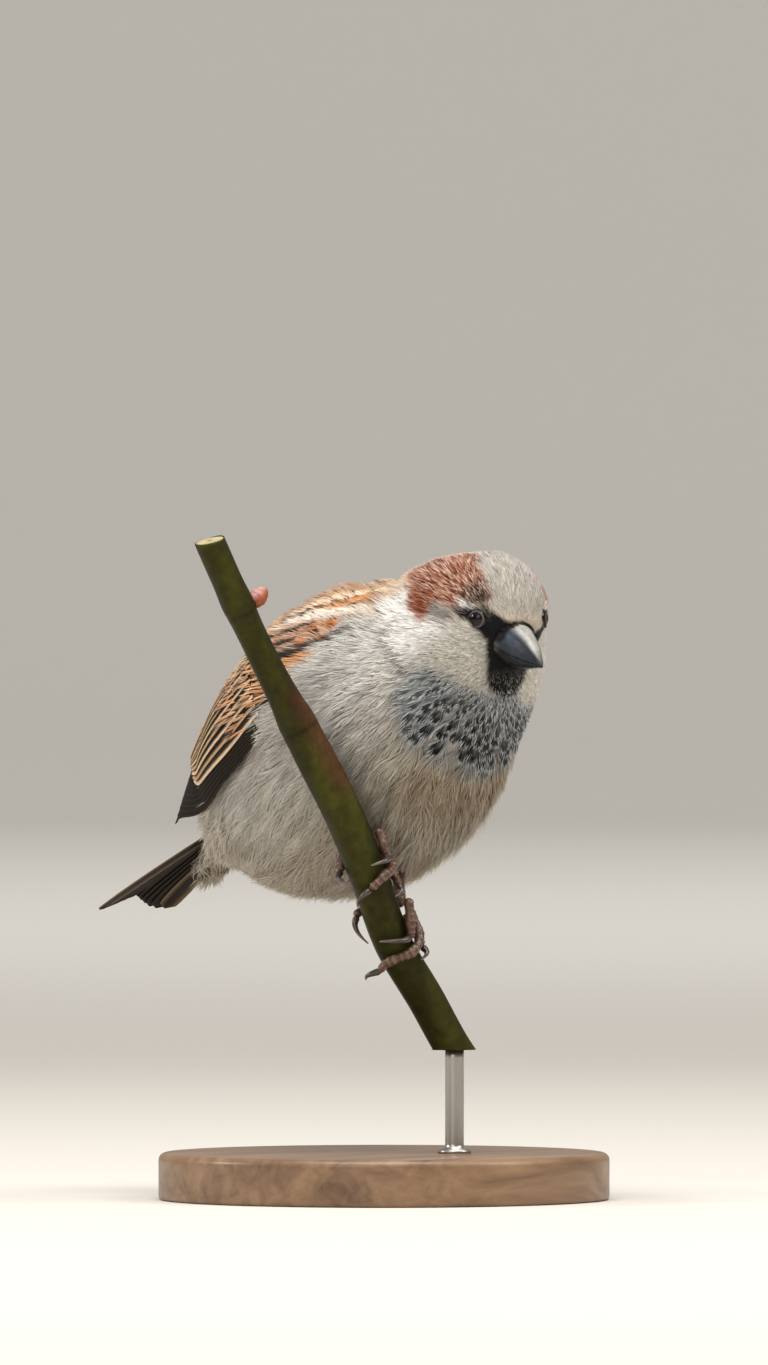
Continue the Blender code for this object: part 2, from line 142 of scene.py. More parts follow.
def from_frame(points, origin, frame_axes):
    """Places ahead, to the left and up from the origin of a frame."""
    return np.moveaxis((points - origin) @ frame_axes.T, -1, 0)


def head_frame(points):
    """Ahead of the eyes, out to either side and up, in the head's frame."""
    ahead, left, up = from_frame(points, EYE_MIDDLE, HEAD_AXES)
    return np.stack([ahead, np.abs(left), up], -1)


def on_left(points):
    """Whether places are on the left of the head's middle."""
    return (points - EYE_MIDDLE) @ HEAD_AXES[1] > 0


def body_frame(points):
    """Along the trunk, and the angle from the ridge of the back, the same on both sides."""
    along, across, height = from_frame(points, BODY_ORIGIN, BODY_AXES)
    return along, np.degrees(np.arctan2(np.abs(across), height))


def oval_depth(across, height, side, top, bottom):
    reach = np.where(height > 0, top, bottom)
    return (np.hypot(across / side, height / reach) - 1) * np.minimum(side, reach)


def body_depth(points):
    """Below zero inside the coat's outer surface."""
    shape = points.shape[:-1]
    points = points.reshape(-1, 3)
    along, across, height = from_frame(points, BODY_ORIGIN, BODY_AXES)
    top, bottom, side = through(TRUNK, along).T
    trunk = np.maximum(oval_depth(across, height, side, top, bottom), along - TRUNK[-1][0])
    ahead, across, height = from_frame(points, EYE_MIDDLE, HEAD_AXES)
    top, bottom, side = through(HEAD, ahead).T
    half = (top - bottom) / 2
    head = oval_depth(across, height - (top + bottom) / 2, side, half, half)
    head = np.maximum(head, np.maximum(HEAD[0][0] - ahead, ahead - HEAD[-1][0] - FACE_END))
    near = np.maximum(NECK_BLEND - np.abs(trunk - head), 0)
    return (np.minimum(trunk, head) - near * near / (4 * NECK_BLEND)).reshape(shape)


def slope(points, step=0.12):
    """The gradient of body_depth."""
    total = np.zeros(points.shape)
    for corner in ((1, -1, -1), (-1, -1, 1), (-1, 1, -1), (1, 1, 1)):
        corner = np.array(corner, float)
        total += corner * body_depth(points + corner * step)[..., None]
    return total / (4 * step)


def settle(points, level, rounds=2):
    """Moves points onto a level of body_depth, and gives the outward normals there."""
    for _ in range(rounds):
        rise = slope(points)
        steep = np.maximum((rise * rise).sum(-1), 0.25)
        points = points - ((body_depth(points) - level) / steep)[..., None] * rise
    return points, unit(rise)


# ---- meshes and materials ----


def build(name, points, faces, material, colours=None, uvs=None, normals=None):
    """One mesh. points are in millimetres, uvs belong to points or to the corners of faces."""
    mesh = bpy.data.meshes.new(name)
    faces = np.asarray(faces, np.int32)
    mesh.vertices.add(len(points))
    mesh.vertices.foreach_set("co", (np.asarray(points, np.float32) * MM).ravel())
    mesh.loops.add(faces.size)
    mesh.loops.foreach_set("vertex_index", faces.ravel())
    mesh.polygons.add(len(faces))
    starts = np.arange(0, faces.size, faces.shape[1], dtype=np.int32)
    mesh.polygons.foreach_set("loop_start", starts)
    mesh.update(calc_edges=True)
    if colours is not None:
        rgba = np.ones((len(points), 4), np.float32)
        rgba[:, :3] = np.clip(colours, 0, 1)
        layer = mesh.color_attributes.new("Col", "FLOAT_COLOR", "POINT")
        layer.data.foreach_set("color", rgba.ravel())
    if uvs is not None:
        uvs = uvs if len(uvs) == faces.size else uvs[faces.ravel()]
        layer = mesh.uv_layers.new(name="OFBake")
        layer.data.foreach_set("uv", uvs.astype(np.float32).ravel())
    mesh.shade_smooth()
    mesh.materials.append(material)
    mesh.validate()
    if normals is not None:
        mesh.normals_split_custom_set_from_vertices(np.asarray(normals, np.float32))
    obj = bpy.data.objects.new(name, mesh)
    bpy.context.scene.collection.objects.link(obj)
    return obj


def piece(obj, slot, *nodes):
    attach(obj, "root")
    if nodes:
        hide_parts(*nodes)
    return obj


def grid_faces(rows, columns, wrap=1):
    """Quads between the points of a grid, which closes round its rows unless wrap is 0."""
    i, j = np.meshgrid(np.arange(rows - 1), np.arange(columns - 1 + wrap), indexing="ij")
    k = (j + 1) % columns
    a, b, c, d = i * columns + j, i * columns + k, (i + 1) * columns + k, (i + 1) * columns + j
    return np.stack([a, b, c, d], -1).reshape(-1, 4)


def loft_faces(count, around):
    """Triangles of a closed skin over rings, with a fan over each end ring's middle point."""
    quads = grid_faces(count, around)
    j = np.arange(around)
    k, top = (j + 1) % around, (count - 1) * around
    first = np.full(around, count * around)
    low, high = np.stack([k, j, first], -1), np.stack([top + j, top + k, first + 1], -1)
    return np.concatenate([quads[:, :3], quads[:, [0, 2, 3]], low, high])


def loft(name, rings, material, colours=None):
    """A closed skin over rings of points, with colours like the rings or broadcast to them."""
    rings = np.asarray(rings, float)

    def capped(grid):
        return np.concatenate([grid.reshape(-1, 3), grid[[0, -1]].mean(1)])

    if colours is not None:
        colours = capped(np.broadcast_to(colours, rings.shape))
    faces = loft_faces(*rings.shape[:2])
    inward = np.cross(rings[0, 1] - rings[0, 0], rings[1, 0] - rings[0, 0])
    if inward @ (rings[0, 0] - rings[0].mean(0)) < 0:
        faces = faces[:, ::-1]
    return build(name, capped(rings), faces, material, colours)


def revolve(name, profile, count, material, centre=(0, 0, 0)):
    """A turned shape about an upright line, from pairs of radius and height."""
    turn = angles(count)
    radius, height = (np.array(column)[:, None] for column in zip(*profile))
    rings = [radius * np.cos(turn), radius * np.sin(turn), height + 0 * turn]
    return loft(name, np.stack(rings, -1) + (centre[0], centre[1], 0), material)


def quarter_round(radius, height, bend, steps):
    """Pairs of radius and height round the upper edge of a turned disc."""
    return [(radius - bend * (1 - math.cos(t)), height - bend * (1 - math.sin(t)))
            for t in np.linspace(0, math.pi / 2, steps)]


def tube_rings(path, radii, sides):
    path = np.asarray(path, float)
    ahead = unit(np.gradient(path, axis=0))
    side = unit(np.cross(ahead, (0.13, 0.31, 0.94)))
    up = np.cross(side, ahead)
    turn = angles(sides)[:, None]
    around = np.cos(turn) * side[:, None] + np.sin(turn) * up[:, None]
    return path[:, None] + radii[:, None, None] * around, around


def fill(node, values):
    for key, value in values.items():
        node.inputs[key].default_value = value
    return node


def material(name, roughness, specular=0.4, sheen=0.0, coat=0.0, metallic=0.0):
    made = bpy.data.materials.new(name)
    made.use_nodes = True
    shader = fill(made.node_tree.nodes["Principled BSDF"], {
        "Roughness": roughness, "Specular IOR Level": specular, "Sheen Weight": sheen,
        "Sheen Roughness": 0.5, "Coat Weight": coat, "Coat Roughness": 0.08,
        "Metallic": metallic,
    })
    return made, made.node_tree, shader


def add_node(tree, kind, **inputs):
    return fill(tree.nodes.new("ShaderNode" + kind), inputs)


def wire(tree, *links):
    for source, out, target, into in links:
        tree.links.new(source.outputs[out], target.inputs[into])


def add_noise(tree, scale, detail, **inputs):
    return add_node(tree, "TexNoise", Scale=scale, Detail=detail, **inputs)


def add_ramp(tree, noise, shader, low, high, places=(0, 1)):
    """Base colours between two, by the noise."""
    ramp = tree.nodes.new("ShaderNodeValToRGB")
    for stop, place, tone in zip(ramp.color_ramp.elements, places, (low, high)):
        stop.position, stop.color = place, (*tone, 1)
    wire(tree, (noise, "Fac", ramp, "Fac"), (ramp, "Color", shader, "Base Color"))


def add_bump(tree, noise, shader, strength, distance):
    bump = add_node(tree, "Bump", Strength=strength, Distance=distance)
    wire(tree, (noise, "Fac", bump, "Height"), (bump, "Normal", shader, "Normal"))


def painted(name, scale, strength, bump, roughness, specular, **options):
    """A material with the mesh's own colours, varied by fine noise, and a fine bump."""
    made, tree, shader = material(name, roughness, specular, **options)
    place = add_node(tree, "TexCoord")
    noise = add_noise(tree, scale, 4.0, Roughness=0.6)
    colour = add_node(tree, "Attribute")
    colour.attribute_name = "Col"
    limits = {"From Min": 0.3, "From Max": 0.7, "To Min": 1 - strength, "To Max": 1 + strength}
    level = add_node(tree, "MapRange", **limits)
    mix = add_node(tree, "VectorMath")
    mix.operation = "SCALE"
    wire(tree, (place, "Object", noise, "Vector"), (noise, "Fac", level, "Value"),
         (colour, "Color", mix, 0), (level, "Result", mix, "Scale"),
         (mix, "Vector", shader, "Base Color"))
    if bump:
        add_bump(tree, noise, shader, bump, 0.0003)
    return made


# ---- stage, camera and light ----

AZIMUTH, ELEVATION, DISTANCE = 42.0, 0.6, 4.0
TARGET = Vector((0, 0, 0.110))
VIEW_HEIGHT = 0.2904
FLOOR_FLAT, FLOOR_BEND, BACKDROP_TOP = 4500, 2000, 4500


def place_facing(name, data, place, facing):
    obj = bpy.data.objects.new(name, data)
    obj.location = place
    obj.rotation_euler = Vector(facing).to_track_quat("-Z", "Y").to_euler()
    bpy.context.scene.collection.objects.link(obj)
    return obj


def make_camera():
    data = bpy.data.cameras.new("Camera")
    data.sensor_fit = "VERTICAL"
    data.sensor_height = 36
    data.lens = 36 * DISTANCE / VIEW_HEIGHT
    data.clip_end = 50
    away = Vector(heading(AZIMUTH - 90, ELEVATION))
    camera = place_facing("Camera", data, TARGET + away * DISTANCE, -away)
    bpy.context.scene.camera = camera


def make_light(name, place, aim, size, power, colour):
    data = bpy.data.lights.new(name, "AREA")
    data.shape = "DISK"
    data.size = size
    data.energy = power
    data.color = colour
    place_facing(name, data, place, Vector(aim) - Vector(place))


def make_stage():
    """A pale floor that curves up into a backdrop far behind, on every side."""
    made, tree, shader = material("Pale floor", 0.85, 0.2)
    add_ramp(tree, add_noise(tree, 1.2, 3.0), shader, (0.62, 0.585, 0.53), (0.66, 0.625, 0.57))
    profile = [(10, 0), (400, 0), (1000, 0), (2000, 0), (FLOOR_FLAT, 0)]
    for t in np.linspace(0, math.pi / 2, 10)[1:]:
        profile.append((FLOOR_FLAT + FLOOR_BEND * math.sin(t), FLOOR_BEND * (1 - math.cos(t))))
    profile.append((FLOOR_FLAT + FLOOR_BEND, BACKDROP_TOP))
    turn = angles(96)
    rings = [[(r * math.cos(a), r * math.sin(a), z) for a in turn] for r, z in profile]
    faces = grid_faces(len(profile), len(turn))
    floor = build("floor", np.array(rings).reshape(-1, 3), faces, made)


def make_world():
    world = bpy.data.worlds.new("World")
    world.use_nodes = True
    back = world.node_tree.nodes["Background"]
    back.inputs["Color"].default_value = (0.95, 0.97, 1.0, 1)
    back.inputs["Strength"].default_value = 0.32
    bpy.context.scene.world = world


# ---- where each colour lies ----

FLANK = (0.51, 0.475, 0.42)
FLANK_WHITE = (0.70, 0.675, 0.62)
# The belly's colour is darker and warmer than the flank's: partly its own cream, partly painted
# shade of the underside.
BELLY = (0.43, 0.385, 0.31)
BELLY_TAN = (0.27, 0.20, 0.12)
VENT = (0.50, 0.445, 0.365)
VENT_SHADOW = (0.15, 0.11, 0.065)
BACK = (0.40, 0.24, 0.14)
BACK_BUFF = (0.70, 0.53, 0.37)
RUMP = (0.34, 0.28, 0.21)
CROWN = (0.43, 0.39, 0.34)
NAPE = (0.60, 0.48, 0.36)
CHEEK = (0.58, 0.545, 0.48)
CHEEK_GREY = (0.15, 0.14, 0.13)
COLLAR = (0.85, 0.82, 0.77)
CHESTNUT = (0.30, 0.078, 0.026)
CHESTNUT_DARK = (0.035, 0.015, 0.009)
CHESTNUT_TIP = (0.86, 0.66, 0.52)
BLACK = (0.010, 0.010, 0.011)
BIB_FRINGE = np.array((0.37, 0.395, 0.41))
BIB_DARK = (0.003, 0.003, 0.004)
BIB_GREY = (0.20, 0.21, 0.215)
STREAK = (0.022, 0.015, 0.011)
CREAM = (0.76, 0.56, 0.38)
GREY_WHITE = (0.78, 0.66, 0.54)
RUFOUS = (0.52, 0.16, 0.035)
FAWN = (0.54, 0.31, 0.19)
ORANGE_BUFF = (0.60, 0.27, 0.11)
SLATE = (0.11, 0.105, 0.11)

# Markings of the head: places ahead, out and up, each with its radius.
CHESTNUT_PATCH = (
    (0.1, 6.8, 5.2, 0.8), (-2, 7.9, 5.8, 2.2), (-6, 10.2, 6.2, 5.3), (-12, 11.5, 7.2, 7.2),
    (-17, 12.2, 6.6, 6.0), (-20.6, 11.0, 4.6, 3.9), (-18, 8, 8.0, 4.2), (-13, 7.5, 9.5, 4.6),
    (-13, 14.5, 3.0, 4.2),
)
CHESTNUT_HOOK = ((-11, 16, 0.5, 3.2), (-8.8, 17.4, -0.6, 1.9), (-7.0, 17.8, -2.0, 1.0))
EYE_BLACK = (
    (-3.6, 12.4, 1.3, 0.5), (-1.9, 11.0, 1.1, 1.1), (0.6, 8.6, 0.8, 2.1), (2.2, 6.9, -0.9, 1.9),
    (3.6, 4.6, -2.6, 2.4), (3.9, 4.2, -6.0, 2.3),
)
EYE_BROW_BLACK = (
    (0.4, 8.0, 3.4, 0.8), (2.0, 6.6, 2.4, 0.8), (3.2, 5.2, 0.6, 1.4), (3.9, 3.2, -0.4, 1.6)
)
WHITE_SPOT = ((-3.6, 11.3, 2.9, 0.7), (-2.4, 10.3, 2.8, 0.9), (-1.5, 9.5, 2.6, 0.7))
BUFF_SPOT = ((1.3, 7.4, 3.7, 0.3), (2.3, 6.5, 2.2, 0.3))
THROAT = ((3.8, 0, -7.0, 6.0), (3.8, 0, -10.5, 5.7), (3.4, 0, -12.6, 4.5))
GREY_CHEEK = (
    (-3.6, 13.2, 0.2, 1.5), (-5.5, 15.0, -0.6, 1.8), (-6.5, 15.5, 0.2, 1.8), (-8.5, 16.5, -0.8, 1.6)
)

# Markings of the shoulder and back: places along the trunk and angles from its ridge, each with
# its half width.
BACK_MARKS = (
    (CREAM, 0.9, ((80, 40, 1.8), (72, 40, 1.6), (64, 37, 1.5), (56, 33, 1.3))),
    (STREAK, 0.3, ((77, 43.5, 0.6), (70, 43, 0.7), (62, 40, 0.75), (54, 36, 0.7))),
    (ORANGE_BUFF, 0.6, ((76, 49, 1.5), (70, 46.5, 1.6), (63, 44, 1.2))),
    (STREAK, 0.3, ((75, 54, 0.6), (69, 50, 0.6), (64, 46, 0.6))),
    (GREY_WHITE, 0.7, ((76, 60, 1.4), (70, 53, 1.5), (65, 48, 1.7), (58, 42, 1.5), (50, 38, 1.0))),
    (FAWN, 0.9, ((66, 58, 2.0), (60, 53, 2.6), (54, 49, 2.8), (48, 46, 2.0))),
    (STREAK, 0.3, ((63, 51.5, 0.5), (56, 47, 0.7), (50, 44, 0.7))),
    (STREAK, 0.3, ((59, 56, 0.6), (53, 52, 0.75), (48, 50, 0.7))),
    (RUFOUS, 0.5, ((68.6, 58.5, 1.1), (67.8, 57.5, 1.1))),
    (RUFOUS, 0.6, ((64.2, 55.5, 0.7), (63.2, 54.5, 0.8))),
    (RUFOUS, 0.6, ((60.4, 60.5, 0.8), (59.6, 60, 0.8))),
    (STREAK, 0.5,
     ((72.5, 68, 0.5), (68, 66.5, 0.9), (63.5, 65, 1.1), (58, 62.5, 1.1), (53, 60, 1.3))),
    (ORANGE_BUFF, 0.6, ((62.5, 70, 0.9), (57, 67.5, 1.4), (52, 66, 1.5))),
)
SHOULDER_MARKS = ((78.5, 74, 0.9), (77, 78, 1.1), (75.6, 84, 0.5), (76.5, 92, 0.7), (77, 104, 1.2))
# A painted shadow low on the body by the vent: places along the trunk and angles from its ridge,
# each with its half width.
VENT_SHADOW_MARK = ((9, 118, 1.2), (16, 119, 2.0), (20, 124, 1.2))

# The middle of the dark at the front of the chestnut, and how far the left lore is moved.
CHESTNUT_DARKEST, LEFT_LORE = (-0.5, 8.2, 4.8), np.array((0, 0, 1.2))


def measure(places, line, scale=1):
    """The depth of each place inside a chain of rounds; each row ends with its radius."""
    line = np.array(line, float)
    steps = np.linspace(0, len(line) - 1, 6 * len(line))
    dense = np.stack([np.interp(steps, np.arange(len(line)), c) for c in line.T], -1)
    depth = np.full(places.shape[:-1], 1e3)
    for *place, radius in dense:
        gap = (places - place) * scale
        depth = np.minimum(depth, np.linalg.norm(gap, axis=-1) - radius)
    return depth


def mark(places, line, inner, outer=None, scale=1):
    """How much of a marking covers each place, 0 to 1, with a soft edge."""
    return falls(-inner, inner if outer is None else outer, measure(places, line, scale))


def shoulder_mark(chart):
    return mark(chart, SHOULDER_MARKS, 0.6, 0.7, (1, 0.36))


def blend(under, over, share):
    under = np.asarray(under, float)
    return under + (over - under) * np.asarray(share)[..., None]


def bill_distance(points):
    return np.linalg.norm(points - in_head(5.5, 0, -4), axis=-1)


def chestnut_share(points, local):
    """The patch starts a little further out on the left side, as it does in the photo."""
    place = local - on_left(points)[..., None] * np.array((-2.6, 4.6, -1.2))
    return np.maximum(mark(place, CHESTNUT_PATCH, 0.8), mark(local, CHESTNUT_HOOK, 0.8))


def bib_share(points):
    along, turn = body_frame(points)
    low = 66.8 + np.maximum(0, 136 - turn) * 0.20
    high = 81.8 + np.clip(turn - 110, 0, 60) * 0.06
    share = smooth(-1.6, 1.2, along - low) * falls(-1.5, 1.5, along - high)
    pale = (points[..., 1] > 0) * smooth(103.5, 106.0, points[..., 2]) * falls(168, 174, turn)
    return share * smooth(100, 118, turn) * (1 - pale)


def paint(points):
    """The colour of the coat at each place, apart from the pattern inside single feathers."""
    shape = points.shape
    points = points.reshape(-1, 3)
    chart = np.stack(body_frame(points), -1)
    local = head_frame(points)
    (along, turn), (ahead, _, up) = chart.T, local.T
    left = on_left(points)
    lore = local + left[:, None] * LEFT_LORE
    on_head = smooth(-29, -25, ahead) * smooth(76.5, 80.5, along)
    patch = chestnut_share(points, local)
    crown_gap = np.linalg.norm(local - CHESTNUT_DARKEST, axis=-1)
    layers = [
        (FLANK_WHITE, 0.95 * smooth(50, 62, along) * between(62, 74, 92, 124, turn)),
        # the belly's colour carries painted shade of the underside
        (BELLY, smooth(118, 146, turn) * falls(64, 70, along)),
        (BELLY_TAN, 0.6 * smooth(138, 152, turn) * between(52, 60, 66, 71, along)),
        (VENT, falls(10, 22, along)),
        # painted shadow low on the body by the vent
        (VENT_SHADOW, 0.35 * mark(chart, VENT_SHADOW_MARK, 1.2, 1.6, (1, 0.35))),
        (BACK, falls(52, 66, turn) * smooth(24, 34, along)),
        (RUMP, falls(50, 64, turn) * falls(24, 34, along)),
    ]
    layers += [(tone, mark(chart, line, soft, scale=(1, 0.43))) for tone, soft, line in BACK_MARKS]
    layers += [
        (NAPE, on_head * smooth(-6, 0, up)),
        (CHEEK, smooth(-17, -12, ahead) * smooth(80, 84, along) * falls(-3, 3, up)),
        (CROWN, smooth(-22, -14, ahead) * smooth(0, 4, up) * on_head),
        (COLLAR, between(76.5, 79.5, 87, 90.5, along) * between(46, 58, 93, 111, turn)),
        (SLATE, 0.25 * shoulder_mark(chart)),
        (CHEEK_GREY, 0.85 * mark(local, GREY_CHEEK, 1.6)),
        (CHESTNUT, patch),
        (CHESTNUT_DARK, patch * falls(2, 8, crown_gap)),
        (BLACK, falls(-0.5, 0.5, measure(lore, EYE_BLACK) + 0.5 * left)),
        (BLACK, mark(lore, EYE_BROW_BLACK, 0.4) * (1 - 0.9 * left)),
        (COLLAR, 0.95 * mark(local, WHITE_SPOT, 0.3)),
        (CHEEK, 0.9 * mark(local, BUFF_SPOT, 0.2)),
        (BIB_GREY, 0.6 * smooth(0.6, 1.0, bib_share(points))),
        (BLACK, mark(local, THROAT, 0.7)),
    ]
    colour = FLANK
    for tone, share in layers:
        colour = blend(colour, tone, share)
    return colour.reshape(shape)


# ---- the skin ----


def bill_root(points):
    """1 where the bill's base comes out of the face."""
    ahead, out, up = np.moveaxis(head_frame(points), -1, 0)
    return falls(0.92, 1.12, np.hypot(out / 4.9, (up + 4.0) / 4.5)) * smooth(1.0, 2.2, ahead)


# The coat's depth by the distance from the bill.
COAT_DEPTH = ((3, 0.5), (10, 0.7), (18, 1.0), (26, 1.5), (40, 2.2), (60, 2.7))


def coat_depth(points):
    """How far the skin lies below the coat's outer surface."""
    return read(COAT_DEPTH, bill_distance(points)) + 1.1 * bill_root(points)


SKIN_VOXEL, REAR_LENGTH, REAR_STEP = 0.85, 1.2, 0.3
AXIS_START = on_body(-3, 0, 0)
AXIS_END = in_head(6, 0, -4)


def unwrap(points, side=None):
    """Each place's spot on the skin, laid flat in two halves along the middle line."""
    line = AXIS_END - AXIS_START
    along = (points - AXIS_START) @ line / (line @ line)
    ahead = unit(line)
    up = unit(np.array((0, 0, 1.0)) - ahead * ahead[2])
    across, height = (points - AXIS_START) @ np.cross(up, ahead), (points - AXIS_START) @ up
    turn = np.abs(np.arctan2(across, height)) / math.pi
    side = (across > 0) if side is None else side
    u = np.where(side, 0.02 + 0.46 * turn, 0.98 - 0.46 * turn)
    return np.stack([u, 0.03 + 0.94 * np.clip(along, 0, 1)], -1)


def make_skin():
    """One skin over trunk, neck and head, below the coat by its depth."""
    work = bmesh.new()
    for name in ("trunk", "neck", "head"):
        work.from_mesh(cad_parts[name].data)
    joined = bpy.data.meshes.new("joined")
    work.to_mesh(joined)
    work.free()
    source = bpy.data.objects.new("joined", joined)
    bpy.context.scene.collection.objects.link(source)
    remesh = source.modifiers.new("Remesh", "REMESH")
    remesh.mode = "VOXEL"
    remesh.voxel_size = SKIN_VOXEL * MM
    source = source.evaluated_get(bpy.context.evaluated_depsgraph_get())
    made = source.to_mesh()
    made.calc_loop_triangles()
    points = np.empty((len(made.vertices), 3), np.float32)
    made.vertices.foreach_get("co", points.ravel())
    faces = np.empty((len(made.loop_triangles), 3), np.int32)
    made.loop_triangles.foreach_get("vertices", faces.ravel())
    source.to_mesh_clear()
    bpy.data.objects.remove(bpy.data.objects["joined"])
    points = points.astype(float) / MM
    rear = on_body(-2.4, 0, 0)
    for _ in range(3):
        moved, _ = settle(points, -coat_depth(points), 1)
        # the rear end is nearly flat, so it moves straight in
        flat = (points - rear) @ BODY_AXES[0] < REAR_LENGTH
        moved[flat] = points[flat] + BODY_AXES[0] * REAR_STEP
        points = moved
    left = np.cross((0, 0, 1.0), unit(AXIS_END - AXIS_START))
    side = (points[faces].mean(1) - AXIS_START) @ left > 0
    uvs = unwrap(points[faces.ravel()], np.repeat(side, 3))
    skin = build("skin", points, faces, SKIN, paint(points), uvs)
    piece(skin, "flank", "trunk", "neck", "head")
    return points, faces


# ---- the coat ----

# Feathers by their distance from the bill: length, width, spacing, width of one lock, locks.
PLUMAGE = (
    (3, 1.4, 0.95, 0.46, 0.14, 7), (10, 2.5, 1.3, 0.60, 0.15, 8), (18, 3.8, 1.8, 0.84, 0.17, 10),
    (26, 5.4, 2.5, 1.12, 0.19, 12), (40, 8.4, 3.7, 1.45, 0.21, 15),
    (60, 10.5, 4.6, 1.62, 0.23, 17), (110, 10.5, 4.8, 1.65, 0.23, 17),
)
PLAIN = (0.0, 0.55, 1.0)
BANDED = (0.0, 0.56, 0.78, 0.84, 1.0)
SWELL = np.array((0.8, 1.0, 0.9, 0.8))
MOST_TRIANGLES = 195000
CHUNK = 3000
COAT_SLOTS = {
    "face": "crown", "crown": "crown", "nape": "collar", "back": "flank", "vent": "flank",
    "flank_left": "flank", "flank_right": "flank", "belly": "flank", "breast": "collar",
}
PATCH_HALF = 0.0015


class Pile:
    """Locks gathered for one coat piece, and split into pieces of a fair size."""

    def __init__(self):
        self.parts = []

    def add(self, *layers):
        """Strands' points, colours, patches and normals."""
        count, size = layers[0].shape[:2]
        faces = [(0, 1, 2)]
        for a in range(size - 4):
            b = a + 1 if a % 3 < 2 else a - 2
            faces += [(a, b + 3, b), (a, a + 3, b + 3)]
        faces += [(size - 4 + (j + 1) % 3, size - 4 + j, size - 1) for j in range(3)]
        for chunk in np.array_split(np.arange(count), max(1, count // CHUNK)):
            placed = np.array(faces) + size * np.arange(len(chunk))[:, None, None]
            flat = [layer[chunk].reshape(-1, layer.shape[-1]) for layer in layers]
            self.parts.append((placed.reshape(-1, 3), *flat))

    def build(self, name, slot, *nodes):
        groups, total = [[]], 0
        for part in self.parts:
            if total + len(part[0]) > MOST_TRIANGLES:
                groups.append([])
                total = 0
            groups[-1].append(part)
            total += len(part[0])
        for number, group in enumerate(groups):
            starts = np.cumsum([0] + [len(part[1]) for part in group])
            faces = np.concatenate([part[0] + start for part, start in zip(group, starts)])
            points, *rest = (np.concatenate(layer) for layer in list(zip(*group))[1:])
            label = name if len(groups) == 1 else f"{name}_{number + 1}"
            piece(build(label, points, faces, FEATHER, *rest), slot, *nodes)


# The wing's edges, as angles from the ridge of the back, by the place along the trunk.
WING_LOW = (
    (-4, 38), (3, 54), (9.5, 68), (14, 76), (20, 84), (30, 87), (40, 85), (48.5, 85), (56, 74),
    (64, 70), (71.5, 66), (76, 50),
)
WING_HIGH = (
    (-4, 34), (9.5, 28), (14, 22), (20, 17), (30, 14), (48, 12), (64, 15), (71.5, 30), (76, 45)
)
# The upper edge of the flank's loose feathers, which lie over the wing.
FLANK_TOP = ((2, 46), (7, 59), (12, 70), (22, 80), (31, 79), (37, 76), (46, 77), (60, 67), (71, 66))


def wing_edges(along):
    return read(WING_HIGH, along), read(WING_LOW, along)


def spotted(points):
    """How much of the spotted breast a place belongs to."""
    return bib_share(points) * (1 - mark(head_frame(points), THROAT, 0.6))


def bold(points):
    """1 low on the middle of the breast, where the black spots are largest."""
    along, turn = body_frame(points)
    return smooth(112, 142, turn) * falls(74, 88, along)


# Places tried for each feather, the least gap as a share of the spacing, and the search's cells.
TRIES, CLOSEST, CELL = 5, 0.86, 2.0


def scatter(points, faces):
    """Evenly spaced random places on the skin, closer together near the bill."""
    a, b, c = points[faces].swapaxes(0, 1)
    middle = (a + b + c) / 3
    spacing = read([(row[0], row[3]) for row in PLUMAGE], bill_distance(middle))
    spacing = spacing * (1 + spotted(middle) * (0.6 + 0.9 * bold(middle)))
    weight = np.linalg.norm(np.cross(b - a, c - a), axis=1) / 2 / spacing**2
    count = int(weight.sum() * TRIES)
    pick = rng.choice(len(faces), count, p=weight / weight.sum())
    r1, r2 = np.sqrt(rng.random(count))[:, None], rng.random(count)[:, None]
    spots = a[pick] * (1 - r1) + b[pick] * (r1 * (1 - r2)) + c[pick] * (r1 * r2)
    reach = (spacing[pick] * CLOSEST) ** 2
    keys = np.floor(spots / CELL).astype(int)
    cells, keep = {}, []
    for i, (x, y, z) in enumerate(keys):
        near = []
        for dx, dy, dz in itertools.product((-1, 0, 1), repeat=3):
            near += cells.get((x + dx, y + dy, z + dz), ())
        if not near or ((spots[near] - spots[i]) ** 2).sum(1).min() >= reach[i]:
            keep.append(i)
            cells.setdefault((x, y, z), []).append(i)
    return spots[keep]


def lie(points, normals, wing):
    """The way the feathers lie: back from the bill, along the trunk, and down a little."""
    away = unit(points - in_head(6, 0, -4))
    along, turn = body_frame(points)
    rear = falls(52, 72, along) if wing else falls(20, 66, along)
    hang = 0.35 * smooth(70, 105, turn) * falls(70, 84, along) * smooth(2, 20, along)
    rise = 0.28 * falls(70, 85, turn) * between(40, 55, 76, 82, along)
    flow = away * (1 - rear)[..., None] - BODY_AXES[0] * rear[..., None]
    flow = flow - np.array((0, 0, 1.0)) * hang[..., None] + BODY_AXES[2] * rise[..., None]
    return unit(flow - normals * (flow * normals).sum(-1, keepdims=True))


def over_wing(points):
    """How far the coat rises over the folded wing and along its edges."""
    along, turn = body_frame(points)
    high, low = wing_edges(along)
    flank = 2.3 * between(36, 44, 74, 80, along) * smooth(16, 3, turn - low)
    flank = flank * smooth(-30, -6, turn - low)
    shoulder = 1.2 * between(40, 46, 66, 76, along) * smooth(-12, 2, turn - high)
    shoulder = shoulder * falls(-4, 6, turn - low)
    back = 1.4 * between(46, 56, 74, 82, along) * falls(38, 56, turn)
    under = 1.1 * between(0, 4, 34, 42, along) * between(-28, -20, -5, 0, turn - low)
    return np.maximum(flank, shoulder) - back - under


def wave(points):
    """Soft ridges along the lie, where the loose feathers of the body part into clumps."""
    along, turn = body_frame(points)
    arc = turn * 0.38
    ridge = np.sin(arc * 1.05 + 0.9 * np.sin(along * 0.21 + 1.3) + 0.7)
    ridge = ridge * np.sin(along * 0.19 + 1.7 * np.sin(arc * 0.23)) * 0.6
    ridge = ridge + 0.4 * np.sin(arc * 2.1 + along * 0.33 + 2.0 * np.sin(along * 0.13))
    body = smooth(26, 40, bill_distance(points)) * smooth(50, 66, turn)
    return ridge * body * (1 - 0.7 * spotted(points))


